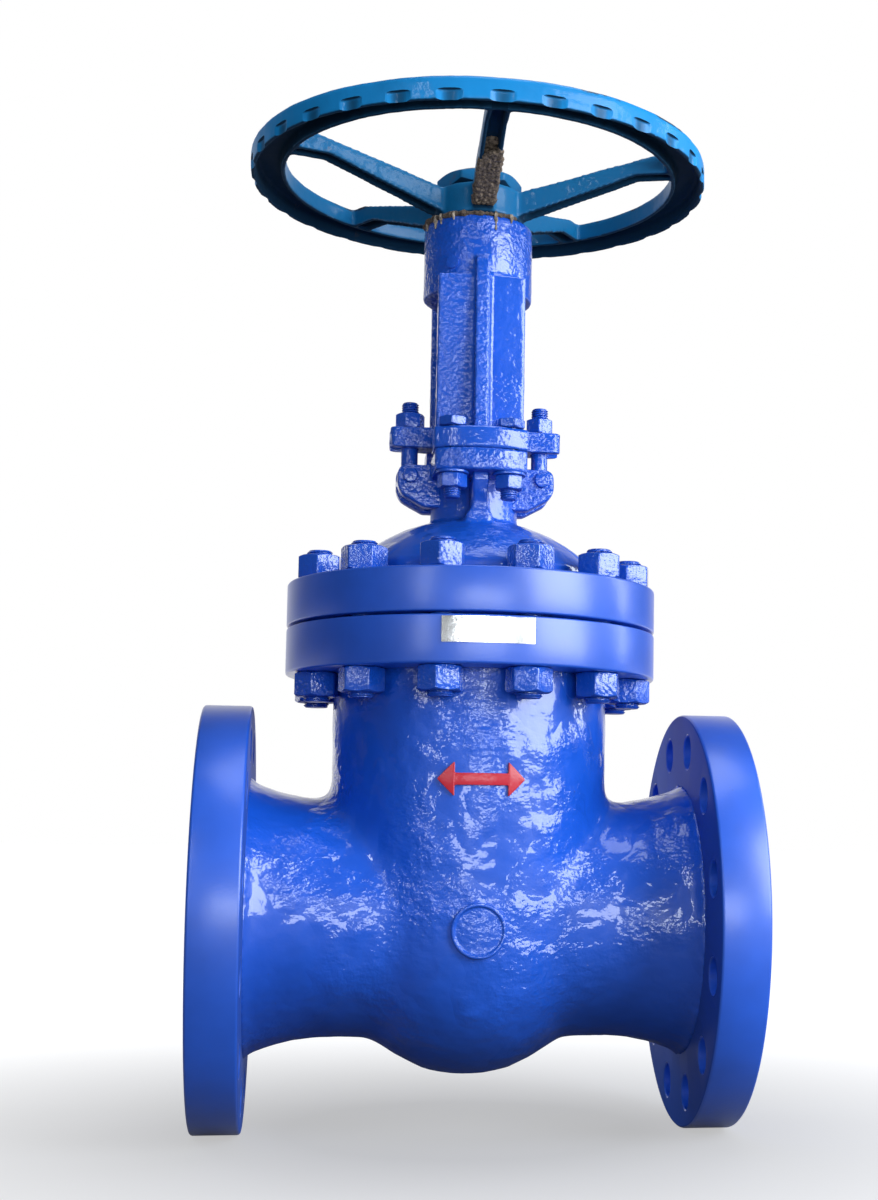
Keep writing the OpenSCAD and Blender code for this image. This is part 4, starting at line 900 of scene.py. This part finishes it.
crust, crust_reach, crust_z = [], 0.0562, 0.7325
for i in range(46):
    at = math.radians(176 + 2.9 * i)
    thick = 0.0018 + 0.0018 * (0.5 + noise.noise(Vector((i * 0.37, 2.0, 5.0)))) + (0.0009 if i < 26 else 0)
    crust.append((crust_reach * math.cos(at), crust_reach * math.sin(at), crust_z, thick, 0.9))
drips, drip_reach, drip_z = [], 0.0580, 0.7320
for degrees, length in ((196, 0.007), (214, 0.010), (222, 0.006), (238, 0.004), (283, 0.015), (301, 0.004)):
    at = math.radians(degrees)
    for k in range(6):
        drips.append((drip_reach * math.cos(at), drip_reach * math.sin(at), drip_z - length * k / 5,
                      0.0024 - 0.00024 * k, 1.5))
brown_grease = dried("dried_grease", (0.035, 0.025, 0.020), (0.17, 0.12, 0.085))
piece(lumps(crust, 0.0007), "grease_crust", brown_grease)
pale_grease = dried("pale_grease", (0.16, 0.12, 0.085), (0.52, 0.43, 0.34))
piece(lumps(drips, 0.0007), "grease_drips", pale_grease)
mud = []
for i in range(33):
    out = 0.054 + 0.0024 * i
    under = 0.740 + (out - 0.0385) * 0.317
    over = 0.7659 + (out - 0.051) * 0.2326
    full = 1 - 0.75 * (i / 32) ** 2
    for k in range(5):
        shift = noise.noise(Vector((i * 0.9, k * 3.1, 1.0)))
        low = over - (over - under + 0.0010) * full * (0.75 + 0.5 * shift)
        aside = 0.0026 * (k - 2) * min(1.0, 0.6 + full)
        mud.append((aside, -out, low + 0.0045, 0.0042 + 0.0014 * shift, 1.3))
    for side in (-1, -0.5, 0, 0.5, 1):
        shift = noise.noise(Vector((i * 0.8, side * 2.3, 9.0)))
        if i < 30 + 4 * side + 8 * shift:
            mud.append((side * 0.0090, -out, under + 0.0010 + 0.0040 * shift, 0.0038 + 0.0022 * shift, 0.9))
dried_mud = dried("dried_mud", (0.040, 0.029, 0.021), (0.27, 0.20, 0.145))
piece(lumps(mud, 0.0009), "spoke_mud", dried_mud, body="wheel_and_nut")

# ---- Nameplate and grease plug ----
# A bare bright sheet, riveted round the edge of the body flange, and a round plug in the side of
# the collar, through which the bearings are greased.
plate_metal = metal("bright_sheet", (0.80, 0.79, 0.78), 0.22, grain_scale=60.0, depth=0.10,
                    stain=(0.62, 0.62, 0.64), stain_share=0.2)
painted(plate_metal, "nameplate", "nameplate_rivets")
painted(nut_blue, "grease_plug")
